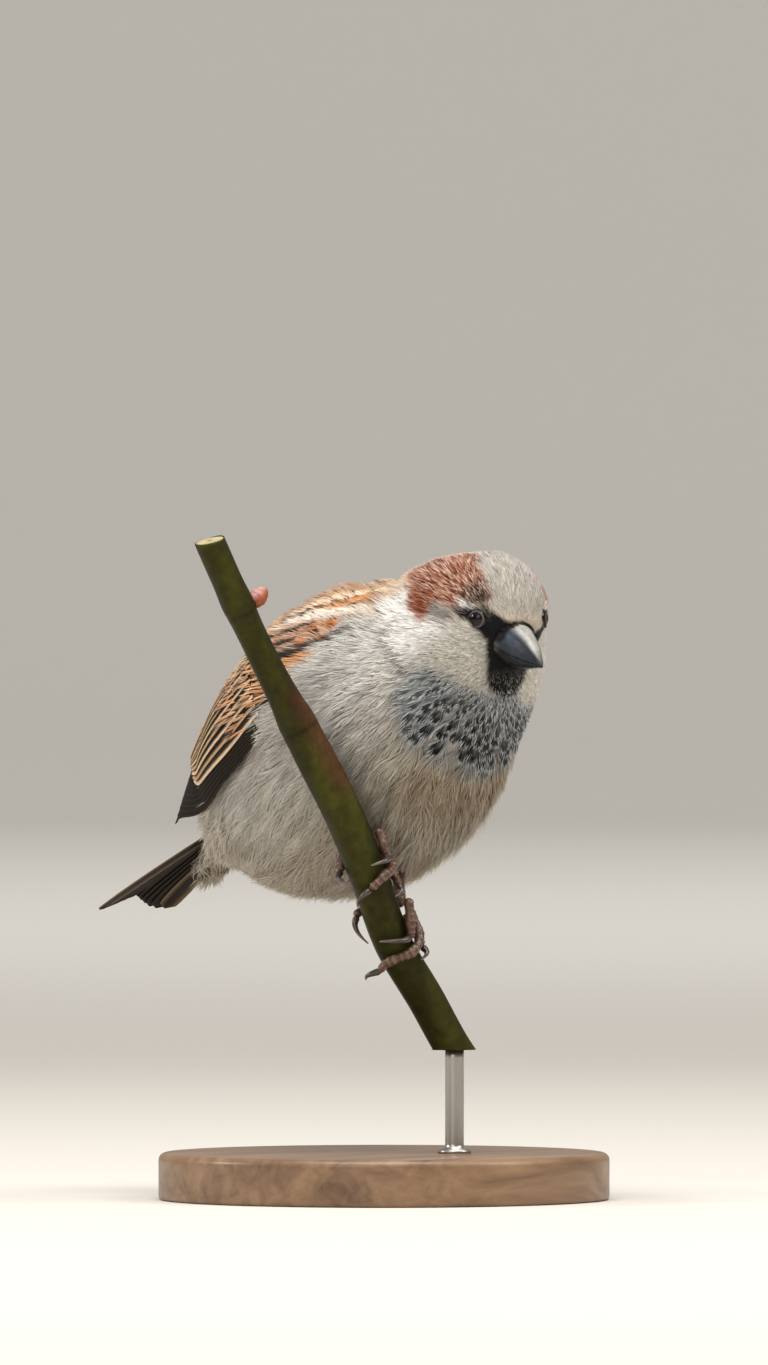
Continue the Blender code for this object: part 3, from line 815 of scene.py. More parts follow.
def three_sided(middle, half, up):
    """Three corners round each place of a strand but its tip, which stays as it is."""
    ring = middle[:, :, :-1]
    corners = np.stack([ring - half, ring + half, ring + up], 3)
    return np.concatenate([corners.reshape(*middle.shape[:2], -1, 3), middle[:, :, -1:]], 2)


def grow(pile, root, colour, locks, sizes, steps=PLAIN, level=None, fan=0.8, wild=1.0, tip=0.34,
         skip=None):
    """Adds single feathers to a pile, each as a fan of locks of barbs from one root.

    sizes give every feather's length, its width and its locks' thickness."""
    count = len(root)
    if not count:
        return
    depth = coat_depth(root)
    root, normal = settle(root, -depth)
    flow = lie(root, normal, level is not None)
    side = np.cross(flow, normal)
    swing = rng.normal(0, 0.12 * wild, count)[:, None]
    flow, side = unit(flow + side * swing), unit(side - flow * swing)
    length, width, thick = sizes[..., None, None]
    length = length * rng.uniform(0.85, 1.15, (count, 1, 1))
    deep = depth[:, None, None]
    v = np.linspace(-1, 1, locks)[None] + rng.normal(0, 0.5 / locks, (count, locks))
    v = np.clip(v, -1.1, 1.1)
    end = 1 - tip * np.abs(v) ** 2.2 + rng.normal(0, 0.045 * wild, v.shape)
    start = 0.06 + 0.3 * (1 - np.abs(v))
    t = np.array(steps)
    along = (start[..., None] + (end - start)[..., None] * t) * length
    across = width / 2 * v[..., None] * t**fan
    across = across + rng.normal(0, 0.035 * wild, v.shape)[..., None] * length * t**2
    points = root[:, None, None] + along[..., None] * flow[:, None, None]
    points = points + across[..., None] * side[:, None, None]
    lift = rng.normal(0, 0.10 * wild, (count, 1, 1)) * deep
    stray = np.abs(rng.normal(0, 0.06 * wild, (*v.shape, 1))) * deep
    height = -deep * (1 - t**0.9) + (lift - stray - 0.10 * deep * v[..., None] ** 2) * t
    if level is None:
        ridge = wave(points)
        height = height + over_wing(points) + 0.5 * ridge * t
    else:
        ridge = 0
        height = height + level(points) * t**0.4
    points, normals = settle(points, height)
    ahead = unit(np.gradient(points, axis=2))
    lateral = unit(np.cross(ahead, normals))
    sides = lateral[:, :, :-1]
    swell = thick * SWELL[:len(t) - 1] * rng.uniform(0.75, 1.25, (*v.shape, 1))
    swell = swell[..., None]
    strands = three_sided(points, sides * (swell / 2), normals[:, :, :-1] * (swell * 0.28))
    tilt = unit(normals + 0.10 * ahead + rng.normal(0, 0.10, (*v.shape, 1, 1)) * lateral)
    turned = unit(three_sided(tilt, 0.3 * sides, 0))
    vary = np.interp(bill_distance(root), (20, 40), (0.14, 0.13))[:, None]
    tone = rng.normal(1, 0.06, (count, 1)) * (1 + rng.normal(0, 1, v.shape) * vary)
    # Each lock is painted darker towards its root: partly the feathers' own grey bases, partly
    # painted shade between the feathers.
    loose = np.interp(bill_distance(root), (20, 40), (0.22, 0.36 if level is None else 0.15))
    root_grey_and_shade = 1 - loose[:, None, None] * (1 - t)
    # Over the body the clumps' crests are painted lighter and their troughs darker: partly the
    # clumps' own streaks of tone, partly painted light and painted shade.
    shade = colour(points, v, t) * (tone[..., None] * root_grey_and_shade * (1 + 0.17 * ridge))[..., None]
    place = np.stack(np.broadcast_arrays(np.clip(v, -1, 1)[..., None], 2 * t - 1), -1)
    patch = unwrap(root)[:, None, None] + PATCH_HALF * place
    repeats = (3,) * (len(t) - 1) + (1,)
    shade, patch = (np.repeat(layer, repeats, axis=2) for layer in (shade, patch))
    good = ~hits_something(points.reshape(-1, len(t), 3))
    if skip is not None:
        good &= ~skip(points).reshape(-1)
    layers = (strands, shade, patch, turned)
    pile.add(*(layer.reshape(-1, *layer.shape[2:])[good] for layer in layers))


def plain_colour(points, v, t):
    """The colours along each lock, from the place of its tip and of its middle."""
    distance = bill_distance(points[:, :, -1])
    reach = np.interp(distance, (5, 12, 20, 30, 40), (0.12, 0.28, 0.45, 0.45, 0.16))
    shift = rng.normal(0, 1, (*v.shape, 3)) * reach[..., None]
    end = points[:, :, -1] + shift
    shade = paint(points + shift[:, :, None])
    local = head_frame(end)
    ahead, _, up = np.moveaxis(local, -1, 0)
    patch = chestnut_share(end, local)
    kind = rng.random(v.shape)
    upper = smooth(-2, -7, ahead - 0.5 * up) * smooth(0, 4, up)
    pale = patch * (kind < 0.40) * upper * rng.uniform(0.45, 1.0, v.shape)
    crown = (1 - patch) * smooth(2, 5, up) * smooth(-22, -14, ahead)
    crown = crown * (distance < 34) * (kind > 0.80)
    fleck = mark(local, THROAT, 0.7) * smooth(-9.0, -13.5, up) * (kind < 0.34)
    band = shoulder_mark(np.stack(body_frame(end), -1)) * (kind < 0.5)
    layers = (
        (CHESTNUT_TIP, 0.9 * pale, smooth(0.2, 0.8, t)),
        (CHESTNUT_DARK, 0.85 * patch * (kind > 0.68), 1),
        (CHEEK_GREY, 0.5 * crown, 1),
        (CHEEK, fleck, smooth(0.6, 0.95, t)),
        (SLATE, 0.8 * band, 1),
    )
    for tone, share, run in layers:
        shade = blend(shade, tone, share[..., None] * run)
    return shade


def fringe_colour(points, v, t):
    return blend(paint(points), VENT, 0.45)


def bib_colour(points, v, t):
    """Dark spots with pale fringes."""
    shade = plain_colour(points, v, t)
    middle = points[:, v.shape[1] // 2, -1]
    strong = bold(middle)
    wide = (rng.uniform(0.20, 0.52, len(strong)) + 0.54 * strong)[:, None]
    inner = falls(wide - 0.04, wide + 0.04, np.abs(v))[..., None]
    inner = inner * (0.82 + 0.18 * strong)[:, None, None]
    band = np.interp(t, (0, 0.45, 0.6, 0.82, 0.85, 1), (0.3, 1, 1, 1, 0.05, 0))
    band = np.where((rng.random(v.shape) < 0.32)[..., None] & (t > 0.7), 0.12, band)
    full = spotted(middle)[:, None, None]
    bright = rng.uniform(0.6, 1.5, (*v.shape, 1, 1))
    shade = blend(shade, BIB_FRINGE * (0.75 + 0.35 * t)[:, None] * bright, full * 0.95)
    side = (np.abs(v) > 0.8)[..., None] * (t < 0.82) * 0.20
    return blend(shade, BIB_DARK, np.maximum(inner * band, side) * full)


def back_colour(points, v, t):
    """Dark streaks with buff edges on the feathers of the upper back."""
    shade = plain_colour(points, v, t)
    along, turn = body_frame(points[:, v.shape[1] // 2, -1])
    back = (falls(36, 42, turn) * falls(75, 80, along) * smooth(16, 26, along))[:, None, None]
    edge, streak = smooth(0.45, 0.8, np.abs(v)), falls(0.2, 0.4, np.abs(v))
    shade = blend(shade, BACK_BUFF, edge[..., None] * back * 0.8)
    some = (rng.random(len(turn)) < 0.8)[:, None, None]
    return blend(shade, STREAK, streak[..., None] * back * some * 0.9)


EYE_AXIS = unit(np.array((0.52, 0.84, 0.14)))
# How wide the coat is open over the left eye and over the right eye.
EYE_CLEAR = (1.35, 1.72)


def from_eye(places):
    """How far ahead of the eye along its axis places are, and how far off that axis."""
    offset = head_frame(places) - (EYE_AHEAD, EYE_OUT, 0.0)
    ahead = offset @ EYE_AXIS
    return ahead, np.linalg.norm(offset - EYE_AXIS * ahead[..., None], axis=-1)


def hits_something(points):
    """Locks that would lie over an eye or the bill's base."""
    places = points[:, 1:]
    ahead, off_axis = from_eye(places)
    eye = (off_axis < np.where(on_left(places), *EYE_CLEAR)) & (ahead > 0)
    return eye.any(1) | (bill_root(places) > 0.45).any(1)


def covered(points):
    """Places where the folded flight feathers hide the coat."""
    along, turn = body_frame(points)
    high, low = wing_edges(along)
    return (along > 12) & (along < 50) & (turn > high + 9) & (turn < low - 9)


def above_flank(points):
    """Flank locks whose tips would lie over the wing."""
    along, turn = body_frame(points[:, :, -1])
    edge = read(FLANK_TOP, along) + rng.normal(0, 1.5, along.shape)
    return (turn < edge) & (along > 2) & (along < 70) & (body_frame(points[:, :, 0])[1] > edge - 14)


def make_coat(skin_points, skin_faces):
    spots = scatter(skin_points, skin_faces)
    ahead, off_axis = from_eye(spots)
    keep = ~((off_axis < 1.9) & (ahead > 0)) & (bill_root(spots) < 0.6) & ~covered(spots)
    spots = spots[keep]
    along, turn = body_frame(spots)
    distance = bill_distance(spots)
    far, *sizes = np.array(PLUMAGE).T
    length, width, _, thick, locks = (np.interp(distance, far, size) for size in sizes)
    large = spotted(spots)
    low = large * bold(spots)
    width = width * (1 + 0.35 * large + 0.7 * low)
    sizes = np.array([length * (1 + 0.25 * large + 0.25 * low), width, thick * (1 + 0.1 * large)])
    locks = np.rint(locks * (1 + 0.5 * large + 0.7 * low))
    bib = (along > 66) & (turn > 98) & (distance > 9) & (along < 92)
    bib |= bib_share(spots) > 0.02
    region = np.select(
        [bib, distance < 12.5, distance < 21, distance < 31, turn < 60, along < 18,
         (turn < 128) & (spots[:, 1] < 0), turn < 128],
        ["breast", "face", "crown", "nape", "back", "vent", "flank_right", "flank_left"], "belly"
    )
    for name, slot in COAT_SLOTS.items():
        pile = Pile()
        chosen = np.flatnonzero(region == name)
        colour = {"back": back_colour, "breast": bib_colour}.get(name, plain_colour)
        for size in np.unique(locks[chosen]):
            group = chosen[locks[chosen] == size]
            grow(pile, spots[group], colour, int(size), sizes[:, group],
                 steps=BANDED if name in ("back", "breast") else PLAIN,
                 wild={"vent": 1.5, "belly": 1.1}.get(name, 1.0),
                 skip=above_flank if name in ("vent", "flank_left", "flank_right") else None)
        pile.build("coat_" + name, slot)
    # long loose feathers that hang free under the belly and round the vent
    pile = Pile()
    loose = (
        ((along > 14) & (along < 44) & (turn > 138), 0.55, 1.25, 1.3),
        ((along > 44) & (along < 63) & (turn > 140), 0.35, 1.1, 0.9),
        ((along > 8) & (along < 22) & (turn > 72) & (turn < 114), 0.9, 0.85, 1.9),
    )
    for chosen, share, reach, rise in loose:
        picked = np.flatnonzero(chosen & (rng.random(len(spots)) < share))
        scaled = sizes[:, picked] * ((reach,), (0.8,), (0.8,))
        grow(pile, spots[picked], fringe_colour, 11, scaled, level=lambda p, rise=rise: rise,
             wild=2.0, tip=0.5, fan=1.0)
    pile.build("coat_fringe", "flank")


# ---- eyes, lids and bill ----

LID_OPEN, LID_RADIUS = 1.48, 0.22


def make_eyes():
    for side, sign in (("left", 1), ("right", -1)):
        centre = in_head(EYE_AHEAD, sign * EYE_OUT, 0)
        axis = (EYE_AXIS * (1, sign, 1)) @ HEAD_AXES
        across = unit(np.cross(axis, (0, 0, 1.0)))
        above = np.cross(across, axis)

        def circle(count):
            turn = angles(count)[:, None]
            return np.cos(turn) * across + np.sin(turn) * above

        polar = np.radians(np.linspace(2, 178, 40))[:, None, None]
        rings = centre + EYE_RADIUS * (axis * np.cos(polar) + circle(48) * np.sin(polar))
        edge = smooth(0.85, 1.05, EYE_RADIUS * np.sin(polar[..., 0]))
        tone = blend((0.004, 0.0035, 0.0035), (0.010, 0.006, 0.004), edge)
        piece(loft("eyeball_" + side, rings, EYE, tone), "eye", "eye_" + side)
        # the lid: a ring of small beads round the opening
        steps, around = 168, 10
        beads = (1 + 0.20 * np.cos(angles(steps) * 28))[:, None, None]
        minor, out = angles(around)[:, None], circle(steps)[:, None]
        rings = LID_RADIUS * beads * (np.cos(minor) * out + np.sin(minor) * axis)
        ahead = math.sqrt(EYE_RADIUS**2 - LID_OPEN**2) - 0.10
        rings = rings + centre + out * (LID_OPEN + LID_RADIUS * 0.8) + axis * ahead
        shade = np.array((0.10, 0.10, 0.105)) * (1.0 if sign < 0 else 0.45)
        shade = shade * (0.35 + 0.65 * (beads - 0.8) / 0.4) + np.zeros(rings.shape)
        faces = grid_faces(steps + 1, around) % (steps * around)
        lid = build("lid_" + side, rings.reshape(-1, 3), faces, LID, shade.reshape(-1, 3))
        piece(lid, "eye")


# Places along the head, with the ridge's, mouth's and keel's heights and the half width.
BILL = (
    (2.4, 0.0, -4.5, -7.9, 4.75), (4.8, 0.60, -4.9, -8.3, 4.15), (7.5, 0.15, -5.05, -8.0, 3.35),
    (10.5, -0.95, -4.95, -7.15, 2.45), (13.2, -2.45, -4.7, -6.0, 1.45),
    (15.0, -3.75, -4.6, -5.2, 0.65), (15.8, -4.45, -4.65, -4.95, 0.2),
)


def make_bill():
    ahead = np.concatenate([np.linspace(2.4, 4.7, 8), np.linspace(4.9, 15.8, 60)])[:, None]
    ridge, mouth, keel, half = np.moveaxis(through(BILL, ahead), -1, 0)
    turn = np.radians(np.linspace(0, 180, 61))
    crest = np.abs(turn - math.pi / 2)

    def line(at, width):
        return np.exp(-(((crest - at) / width) ** 2))

    gape = smooth(1.25, 1.55, crest) * falls(3.4, 5.0, ahead)
    # Along the upper half's ridge a pale band, partly the horn's own pale ridge and partly a
    # painted highlight, and along each side a bluish line, a painted sheen.
    lights = (
        (falls(0.30, 0.80, crest) * falls(12, 15.5, ahead), (0.28, 0.27, 0.24)),
        (line(0.95, 0.3) * falls(5, 13, ahead), (0.018, 0.026, 0.042)),
    )
    # the upper half has a narrow ridge, the lower one a flatter keel
    halves = (("upper", ridge, 1, 0.92, 1.0), ("lower", keel, 0, 0.7, 0.35))
    for name, far, upper, power, dark in halves:
        near = mouth + (0.05 if upper else -0.05)
        side = half * np.cos(turn) * (1 - upper * 0.03 * line(1.05, 0.12))
        side = side + np.sign(np.cos(turn)) * upper * 0.05 * half * line(math.pi / 2, 0.16)
        rings = in_head(ahead, side, near + (far - near) * np.sin(turn) ** power)
        # The lower half is painted about a third as bright: painted shade under the upper half.
        tone = np.array((0.020, 0.023, 0.030)) * dark + gape[..., None] * (0.08, 0.075, 0.06)
        for share, light in lights:
            tone = tone + upper * share[..., None] * light
        piece(loft("bill_horn_" + name, rings, HORN, tone), "horn", "bill_" + name)


def make_bristles():
    """Short dark bristles over the nostrils and at the gape, pointing forward."""
    count = 170
    sign = np.where(rng.random(count) < 0.5, 1, -1)
    turn = rng.uniform(0.1, 1.35, count)
    ring = rng.uniform(0.94, 1.02, count)
    out, up = sign * np.sin(turn), np.cos(turn)
    ahead = rng.uniform(2.6, 3.7, count)
    start = np.stack([ahead, 4.75 * ring * out, -4.4 + 5.3 * ring * up], -1)
    reach = rng.uniform(1.2, 2.4, count)[:, None]
    aim = np.stack([np.ones(count), -0.20 * out, -0.02 - 0.02 * up], -1)
    aim = unit(aim + rng.normal(0, 0.10, (count, 3)))
    path = start[:, None] + aim[:, None] * (reach * PLAIN)[..., None]
    path[:, 1, 2] += 0.15
    path = path @ HEAD_AXES + EYE_MIDDLE
    strands = three_sided(path[None], HEAD_AXES[1] * 0.06, HEAD_AXES[2] * 0.07)[0]
    tone = np.array((0.045, 0.016, 0.012)) * rng.uniform(0.4, 1.5, (count, 1, 1))
    patch = np.broadcast_to(unwrap(path[:, 0])[:, None], (count, 7, 2))
    shade, lifted = (np.broadcast_to(x, strands.shape) for x in (tone, HEAD_AXES[2]))
    pile = Pile()
    pile.add(strands, shade, patch, lifted)
    pile.build("coat_bristles", "crown")


# ---- wings and tail ----

# The least distance of the folded wing from the trunk's line, by the place along the trunk.
WING_LEAST = (
    (-6, 12.0), (-3.2, 12.9), (3, 15.6), (9.5, 18.4), (14, 20.4), (20, 22.6), (30, 24.8),
    (39.6, 25.4), (80, 0),
)


def trunk_reach(along, turn):
    """How far the coat's surface lies from the trunk's line."""
    top, bottom, side = np.moveaxis(through(TRUNK, along), -1, 0)
    angle = np.radians(turn)
    return 1 / np.hypot(np.sin(angle) / side, np.cos(angle) / np.where(turn < 90, top, bottom))


def wing_point(along, turn, height, sign):
    """A point over the trunk, at an angle from the ridge of the back, for folded feathers."""
    angle = np.radians(turn)
    least = read(WING_LEAST, along)
    reach = np.maximum(trunk_reach(along, turn) + 0.3, least) + height
    return on_body(along, sign * reach * np.sin(angle), reach * np.cos(angle)), reach


VANE_ACROSS = np.array((-1, -0.94, -0.82, -0.55, -0.2, 0.0, 0.2, 0.55, 0.82, 0.94, 1.0))
SHAFT = np.exp(-((VANE_ACROSS / 0.08) ** 2))


def rounded(t, cap, least):
    """Shares of a feather's width that close in a round tip, cap long."""
    return np.maximum(np.sqrt(np.clip(1 - ((t - 1 + cap) / cap).clip(0, 1) ** 2, 0, 1)), least)


def spread(first, last, count):
    """Middle lines of feathers evenly spaced from the first to the last, with their shares."""
    first, last = np.array(first, float), np.array(last, float)
    return [(f, first + (last - first) * f) for f in np.linspace(0, 1, count)]


def vane(knots, widths, height, sign, colour, rows=28, thick=0.16):
    """One stiff feather laid over the trunk, as top and underside grids with colours.

    knots give its middle line as places along the trunk and angles, widths its half width."""
    t = np.linspace(0, 1, rows)
    along, turn = through([(i / (len(knots) - 1), *k) for i, k in enumerate(knots)], t).T
    half = np.interp(t, np.linspace(0, 1, len(widths)), widths)
    _, reach = wing_point(along, turn, height, sign)
    run, climb = np.gradient(along), np.radians(np.gradient(turn)) * reach
    size = np.hypot(run, climb)
    half = half * rounded(t, half.max() / 2 / (size.sum() + 1e-6), 0.04)
    offset = half[:, None] * VANE_ACROSS
    along = along[:, None] + offset * (climb / size)[:, None]
    turn = turn[:, None] - np.degrees(offset * (run / size / reach)[:, None])
    camber = 0.12 * (1 - VANE_ACROSS**2) + 0.30 * VANE_ACROSS
    camber = camber * np.minimum(half / 2.5, 1)[:, None]
    camber = camber + np.broadcast_to(height, rows)[:, None]
    top, _ = wing_point(along, turn, camber + 0.08 * SHAFT, sign)
    under, _ = wing_point(along, turn, camber - thick, sign)
    return top, under, colour(t[:, None], VANE_ACROSS)


def join_vanes(name, vanes, slot, *nodes):
    points, faces, colours, uvs = [], [], [], []
    for top, under, shade in vanes:
        rows, columns = top.shape[:2]
        count = rows * columns
        upper = grid_faces(rows, columns, wrap=0)
        index = np.arange(count).reshape(rows, columns)
        ring = np.concatenate([index[0], index[1:, -1], index[-1, -2::-1], index[-2:0:-1, 0]])
        after = np.roll(ring, -1)
        rim = np.stack([ring, ring + count, after + count, after], -1)
        closed = np.concatenate([upper, upper[:, ::-1] + count, rim])
        normal = np.cross(top[0, 1] - top[0, 0], top[1, 0] - top[0, 0])
        if normal @ (top[0, 0] - under[0, 0]) < 0:
            closed = closed[:, ::-1]
        faces.append(closed + 2 * count * len(faces))
        points += [top, under]
        # The underside is painted a fifth darker: painted shade.
        colours += [shade, shade * 0.8]
        across, along = np.meshgrid(np.linspace(-1, 1, columns), np.linspace(-1, 1, rows))
        uvs += [unwrap(top[0, columns // 2]) + PATCH_HALF * np.stack([along, across], -1)] * 2
    points, colours, uvs = (np.array(x).reshape(-1, x[0].shape[-1]) for x in (points, colours, uvs))
    return piece(build(name, points, np.concatenate(faces), VANE, colours, uvs), slot, *nodes)


def edged(centre, edge, tip, inner, outer, tip_start):
    """A feather with a dark middle, a pale edge and a pale tip."""

    def colour(t, v):
        shade = blend(centre, edge, smooth(inner, outer, np.abs(v)))
        shade = blend(shade, tip, smooth(tip_start, 1.0, t) * 0.85)
        shade = blend(shade, (0.03, 0.02, 0.015), np.exp(-((v / 0.1) ** 2)) * 0.6)
        ragged = 0.10 * np.sin(t * 260 + np.abs(v) * 22) * smooth(0.1, 0.3, np.abs(v))
        return shade * (1 + ragged)[..., None]

    return colour


DARK = (0.010, 0.007, 0.005)
BUFF = (0.66, 0.42, 0.24)


def wing_rise(points):
    """The height of the coverts' outer surface over the trunk's coat."""
    along, turn = body_frame(points)
    high, low = wing_edges(along)
    inside = smooth(-8, 3, turn - high) * falls(-5, 5, turn - low)
    over = np.maximum(read(WING_LEAST, along) - trunk_reach(along, turn), 0.3)
    inside = inside * (1 - 0.8 * smooth(47, 58, along))
    return (over * falls(52, 60, along) + 2.1 * inside) * falls(60, 78, along) + 0.2


def covert_colour(points, v, t):
    """Dark middles, orange or buff edges and cream tips; above them the mantle's marks."""
    edge = smooth(0.20, 0.46, np.abs(v))[..., None]
    tint = np.where(rng.random(len(v))[:, None, None, None] < 0.5, ORANGE_BUFF, BUFF)
    shade = blend(blend(STREAK, tint, edge), CREAM, smooth(0.80, 1.0, t) * 0.35)
    along, turn = body_frame(points[:, v.shape[1] // 2, -1])
    mantle = falls(42, 52, turn) * smooth(46, 50, along)
    return blend(shade, plain_colour(points, v, t), mantle[:, None, None])


# The outermost middle lines of each set of flight feathers.
PRIMARIES = (((44, 76), (30, 73), (18, 64), (15, 52)), ((44, 83), (30, 84), (13, 77), (-3, 36.5)))
SECONDARIES = (
    ((46, 42), (32, 41), (20, 38), (12.5, 35)), ((46, 76), (32, 77), (20, 71), (16.5, 62)),
)
TERTIALS = (((52, 20), (40, 19), (28, 21), (20, 25)), ((52, 40), (40, 40), (26, 39), (12, 37)))

# Rows of coverts, the greater ones first, then the smaller and the shoulder's over them: count,
# place, first and last angle, length, width, locks, and height over the coverts' surface.
COVERTS = (
    (15, 48.5, 22, 78, 15.0, 3.2, 22, 0.0), (14, 53.0, 20, 76, 11.5, 3.2, 22, 0.075),
    (13, 57.0, 20, 72, 9.5, 3.4, 20, 0.15), (10, 59.5, 20, 70, 8.0, 4.2, 20, 0.2),
    (10, 62.5, 20, 71, 7.5, 4.0, 20, 0.25), (10, 66.0, 22, 69, 7.0, 3.8, 20, 0.275),
    (9, 69.5, 28, 68, 6.5, 3.6, 20, 0.25), (9, 73.0, 34, 68, 6.0, 3.4, 20, 0.2),
    (8, 76.0, 40, 68, 5.5, 3.2, 20, 0.15),
)


def make_wings():
    for side, sign in (("left", 1), ("right", -1)):
        tone = edged(DARK, (0.024, 0.017, 0.012), DARK, 0.80, 1.0, 0.97)
        primaries = [
            vane(knots, (2.4, 2.7, 2.6, 2.2, 1.5), 0.95 - 0.5 * f, sign, tone, rows=30)
            for f, knots in spread(*PRIMARIES, 8)
        ]
        join_vanes("primaries_" + side, primaries, "primaries", "wing_primaries_" + side)
        vanes = []
        for k, (f, knots) in enumerate(spread(*SECONDARIES, 9)):
            pale = (0.46, 0.29, 0.155) if k % 2 else (0.60, 0.44, 0.29)
            inner = rng.uniform(0.52, 0.70)
            tone = edged(DARK, pale, (0.05, 0.035, 0.022), inner, inner + 0.26, 0.88)
            vanes.append(vane(knots, (2.2, 2.4, 2.4, 2.0), 1.55 - 0.5 * f, sign, tone))
        for k, (f, knots) in enumerate(spread(*TERTIALS, 4)):
            edge = (0.60, 0.33, 0.15) if k % 2 else BUFF
            tone = edged(DARK, edge, (0.40, 0.27, 0.16), 0.36, 0.70, 0.94)
            rise = np.interp(np.linspace(0, 0.7, 28), (0, 0.28), (-0.5, 1.85 - 0.1 * f))
            vanes.append(vane(knots, (2.2, 2.7, 2.8, 2.3), rise, sign, tone))
        join_vanes("secondaries_" + side, vanes, "secondaries", "wing_secondaries_" + side)
        pile = Pile()
        for count, start, first, last, length, width, locks, extra in COVERTS:
            turn = np.linspace(first, last, count) + rng.normal(0, 0.8, count)
            root, _ = wing_point(start + rng.normal(0, 0.4, count), turn, 0.0, sign)
            sizes = np.tile([[length], [width], [0.26]], count)
            grow(pile, root, covert_colour if start < 59 else plain_colour, locks, sizes, BANDED,
                 level=lambda p, extra=extra: wing_rise(p) + extra, fan=0.5, wild=0.6, tip=0.42)
        pile.build("coverts_" + side, "coverts", "wing_coverts_" + side)


TAIL_ROOT = (-40.5, 0.0, 80.2)
TAIL_PITCH = 31.0
TAIL_LENGTH = 39.5


def make_tail():
    backward, left, up = axes(180, -TAIL_PITCH)
    vanes = []
    t = np.linspace(0, 1, 26)
    for k, sign in itertools.product(range(6), (1, -1)):
        f = k / 5
        length = TAIL_LENGTH - (3.4 * (1 - f) ** 1.5 + 1.6 * max(0, f - 0.7) / 0.3)
        middle = sign * (0.4 + 2.6 * f * 0.9 + (0.9 + 6.6 * f) * t)
        half = np.interp(t, (0, 0.3, 0.8, 1), (1.3, 2.0, 2.75, 2.3))
        half = half * rounded(t, 2.4 / length, 0.06)
        across = middle[:, None] + half[:, None] * VANE_ACROSS
        lift = 1.6 * (0.4 + 0.6 * t)[:, None] * (1 - (across / 12.5) ** 2)
        lift = lift + 0.55 - 0.19 * k + 0.12 * (1 - VANE_ACROSS**2)
        run = (length * t)[:, None] + 0 * across
        base = TAIL_ROOT + np.stack([run, across, lift], -1) @ (backward, left, up)
        shaft = (0.10 * SHAFT)[:, None] * up
        edge, inner = ((0.20, 0.13, 0.07), 0.30) if k == 5 else ((0.026, 0.018, 0.012), 0.72)
        tone = edged((0.009, 0.006, 0.004), edge, (0.016, 0.011, 0.008), inner, 1.0, 0.95)
        vanes.append((base + shaft, base - 0.15 * up - shaft, tone(t[:, None], VANE_ACROSS)))
    join_vanes("rectrices", vanes, "tail", "tail")


# ---- stem, feet and stand ----

STEM = (
    (5.0, -60.3, 140.3), (5.6, -52.7, 127.6), (6.3, -44.9, 115.4), (7.7, -36.1, 102.0),
    (12.9, -25.9, 80.7), (13.0, -18.6, 68.0), (12.2, -10.4, 54.4), (12.9, -1.2, 43.1),
    (14.4, 6.6, 31.8), (17.4, 14.6, 21.2),
)
STEM_FOOT = 32.0
STEM_RADII = ((32, 3.9), (80, 4.1), (98, 4.05), (106, 3.45), (140, 3.2))
STEM_NODES = (102.4, 127.0)
BUD_HEIGHT, BUD_FACING = 125.7, 64.0
GRIP_HEADING = 132.0
GAP = 0.3
TOE_RADIUS = 0.92
TOES = {
    "right": {
        "inner": ((66, 79.4, 0.6), (88, 76.0, 0.1), (104, 73.7, 0.1), (164, 71.6, 0.3)),
        "middle": (
            (48, 75.8, 0.6), (90, 71.7, 0.1), (140, 69.6, 0), (187, 66.5, 0), (238, 62.7, 0.5)
        ),
        "outer": ((26, 73.4, 0.6), (60, 70.0, 0.3), (92, 67.6, 0.1), (128, 65.0, 0.4)),
        "hallux": ((-14, 77.5, 0.6), (-44, 73.5, 0.2), (-74, 70.2, 0.2), (-132, 67.2, 0.6)),
    },
    "left": {
        "inner": ((86, 64.6, 1.1), (112, 59.6, 0.5), (134, 56.2, 0.1), (208, 55.3, 0.3)),
        "middle": (
            (64, 62.0, 1.1), (98, 56.6, 0.7), (146, 53.3, 0.1), (206, 51.0, 0), (258, 48.9, 0.1),
            (277, 46.9, 4.2),
        ),
        "outer": ((42, 60.6, 1.1), (74, 56.8, 0.6), (97, 54.0, 0.1), (134, 51.4, 0.4)),
        "hallux": ((4, 65.0, 0.8), (-34, 62.0, 0.3), (-70, 60.6, 0.3), (-112, 54.6, 0.6)),
    },
}
ANKLES = {"right": np.array((-2.0, -12.0, 84.0)), "left": np.array((0.0, 5.0, 76.0))}
TARSUS_RADIUS = 1.2
CLAW_BOW = 0.6
BASE_RADIUS, BASE_HEIGHT, ROD_RADIUS = 48.0, 10.0, 2.0


def stem_middle(heights):
    heights = np.atleast_1d(np.asarray(heights, float))
    across = through([(z, x, y) for x, y, z in STEM], heights)
    return np.column_stack([across, heights])


def stem_lean(heights):
    heights = np.asarray(heights)
    return unit(stem_middle(heights + 0.5) - stem_middle(heights - 0.5))


def round_stem(turn, heights, distance):
    """Places round the stem, at angles in degrees from the grip's heading."""
    middle = stem_middle(heights)
    lean = stem_lean(heights)
    facing = heading(GRIP_HEADING, 0)
    facing = unit(facing - lean * (lean @ facing)[:, None])
    front = np.cross(facing, lean)
    turn = np.radians(turn)[:, None]
    distance = np.broadcast_to(distance, len(middle))[:, None]
    return middle + distance * (facing * np.cos(turn) + front * np.sin(turn))


def stem_radius(heights):
    swell = sum(np.exp(-(((heights - ring) / 3.0) ** 2)) for ring in STEM_NODES)
    return through(STEM_RADII, heights)[..., 0] + 0.3 * swell


OLIVE, WOOD = np.array((0.009, 0.009, 0.002)), np.array((0.42, 0.36, 0.20))


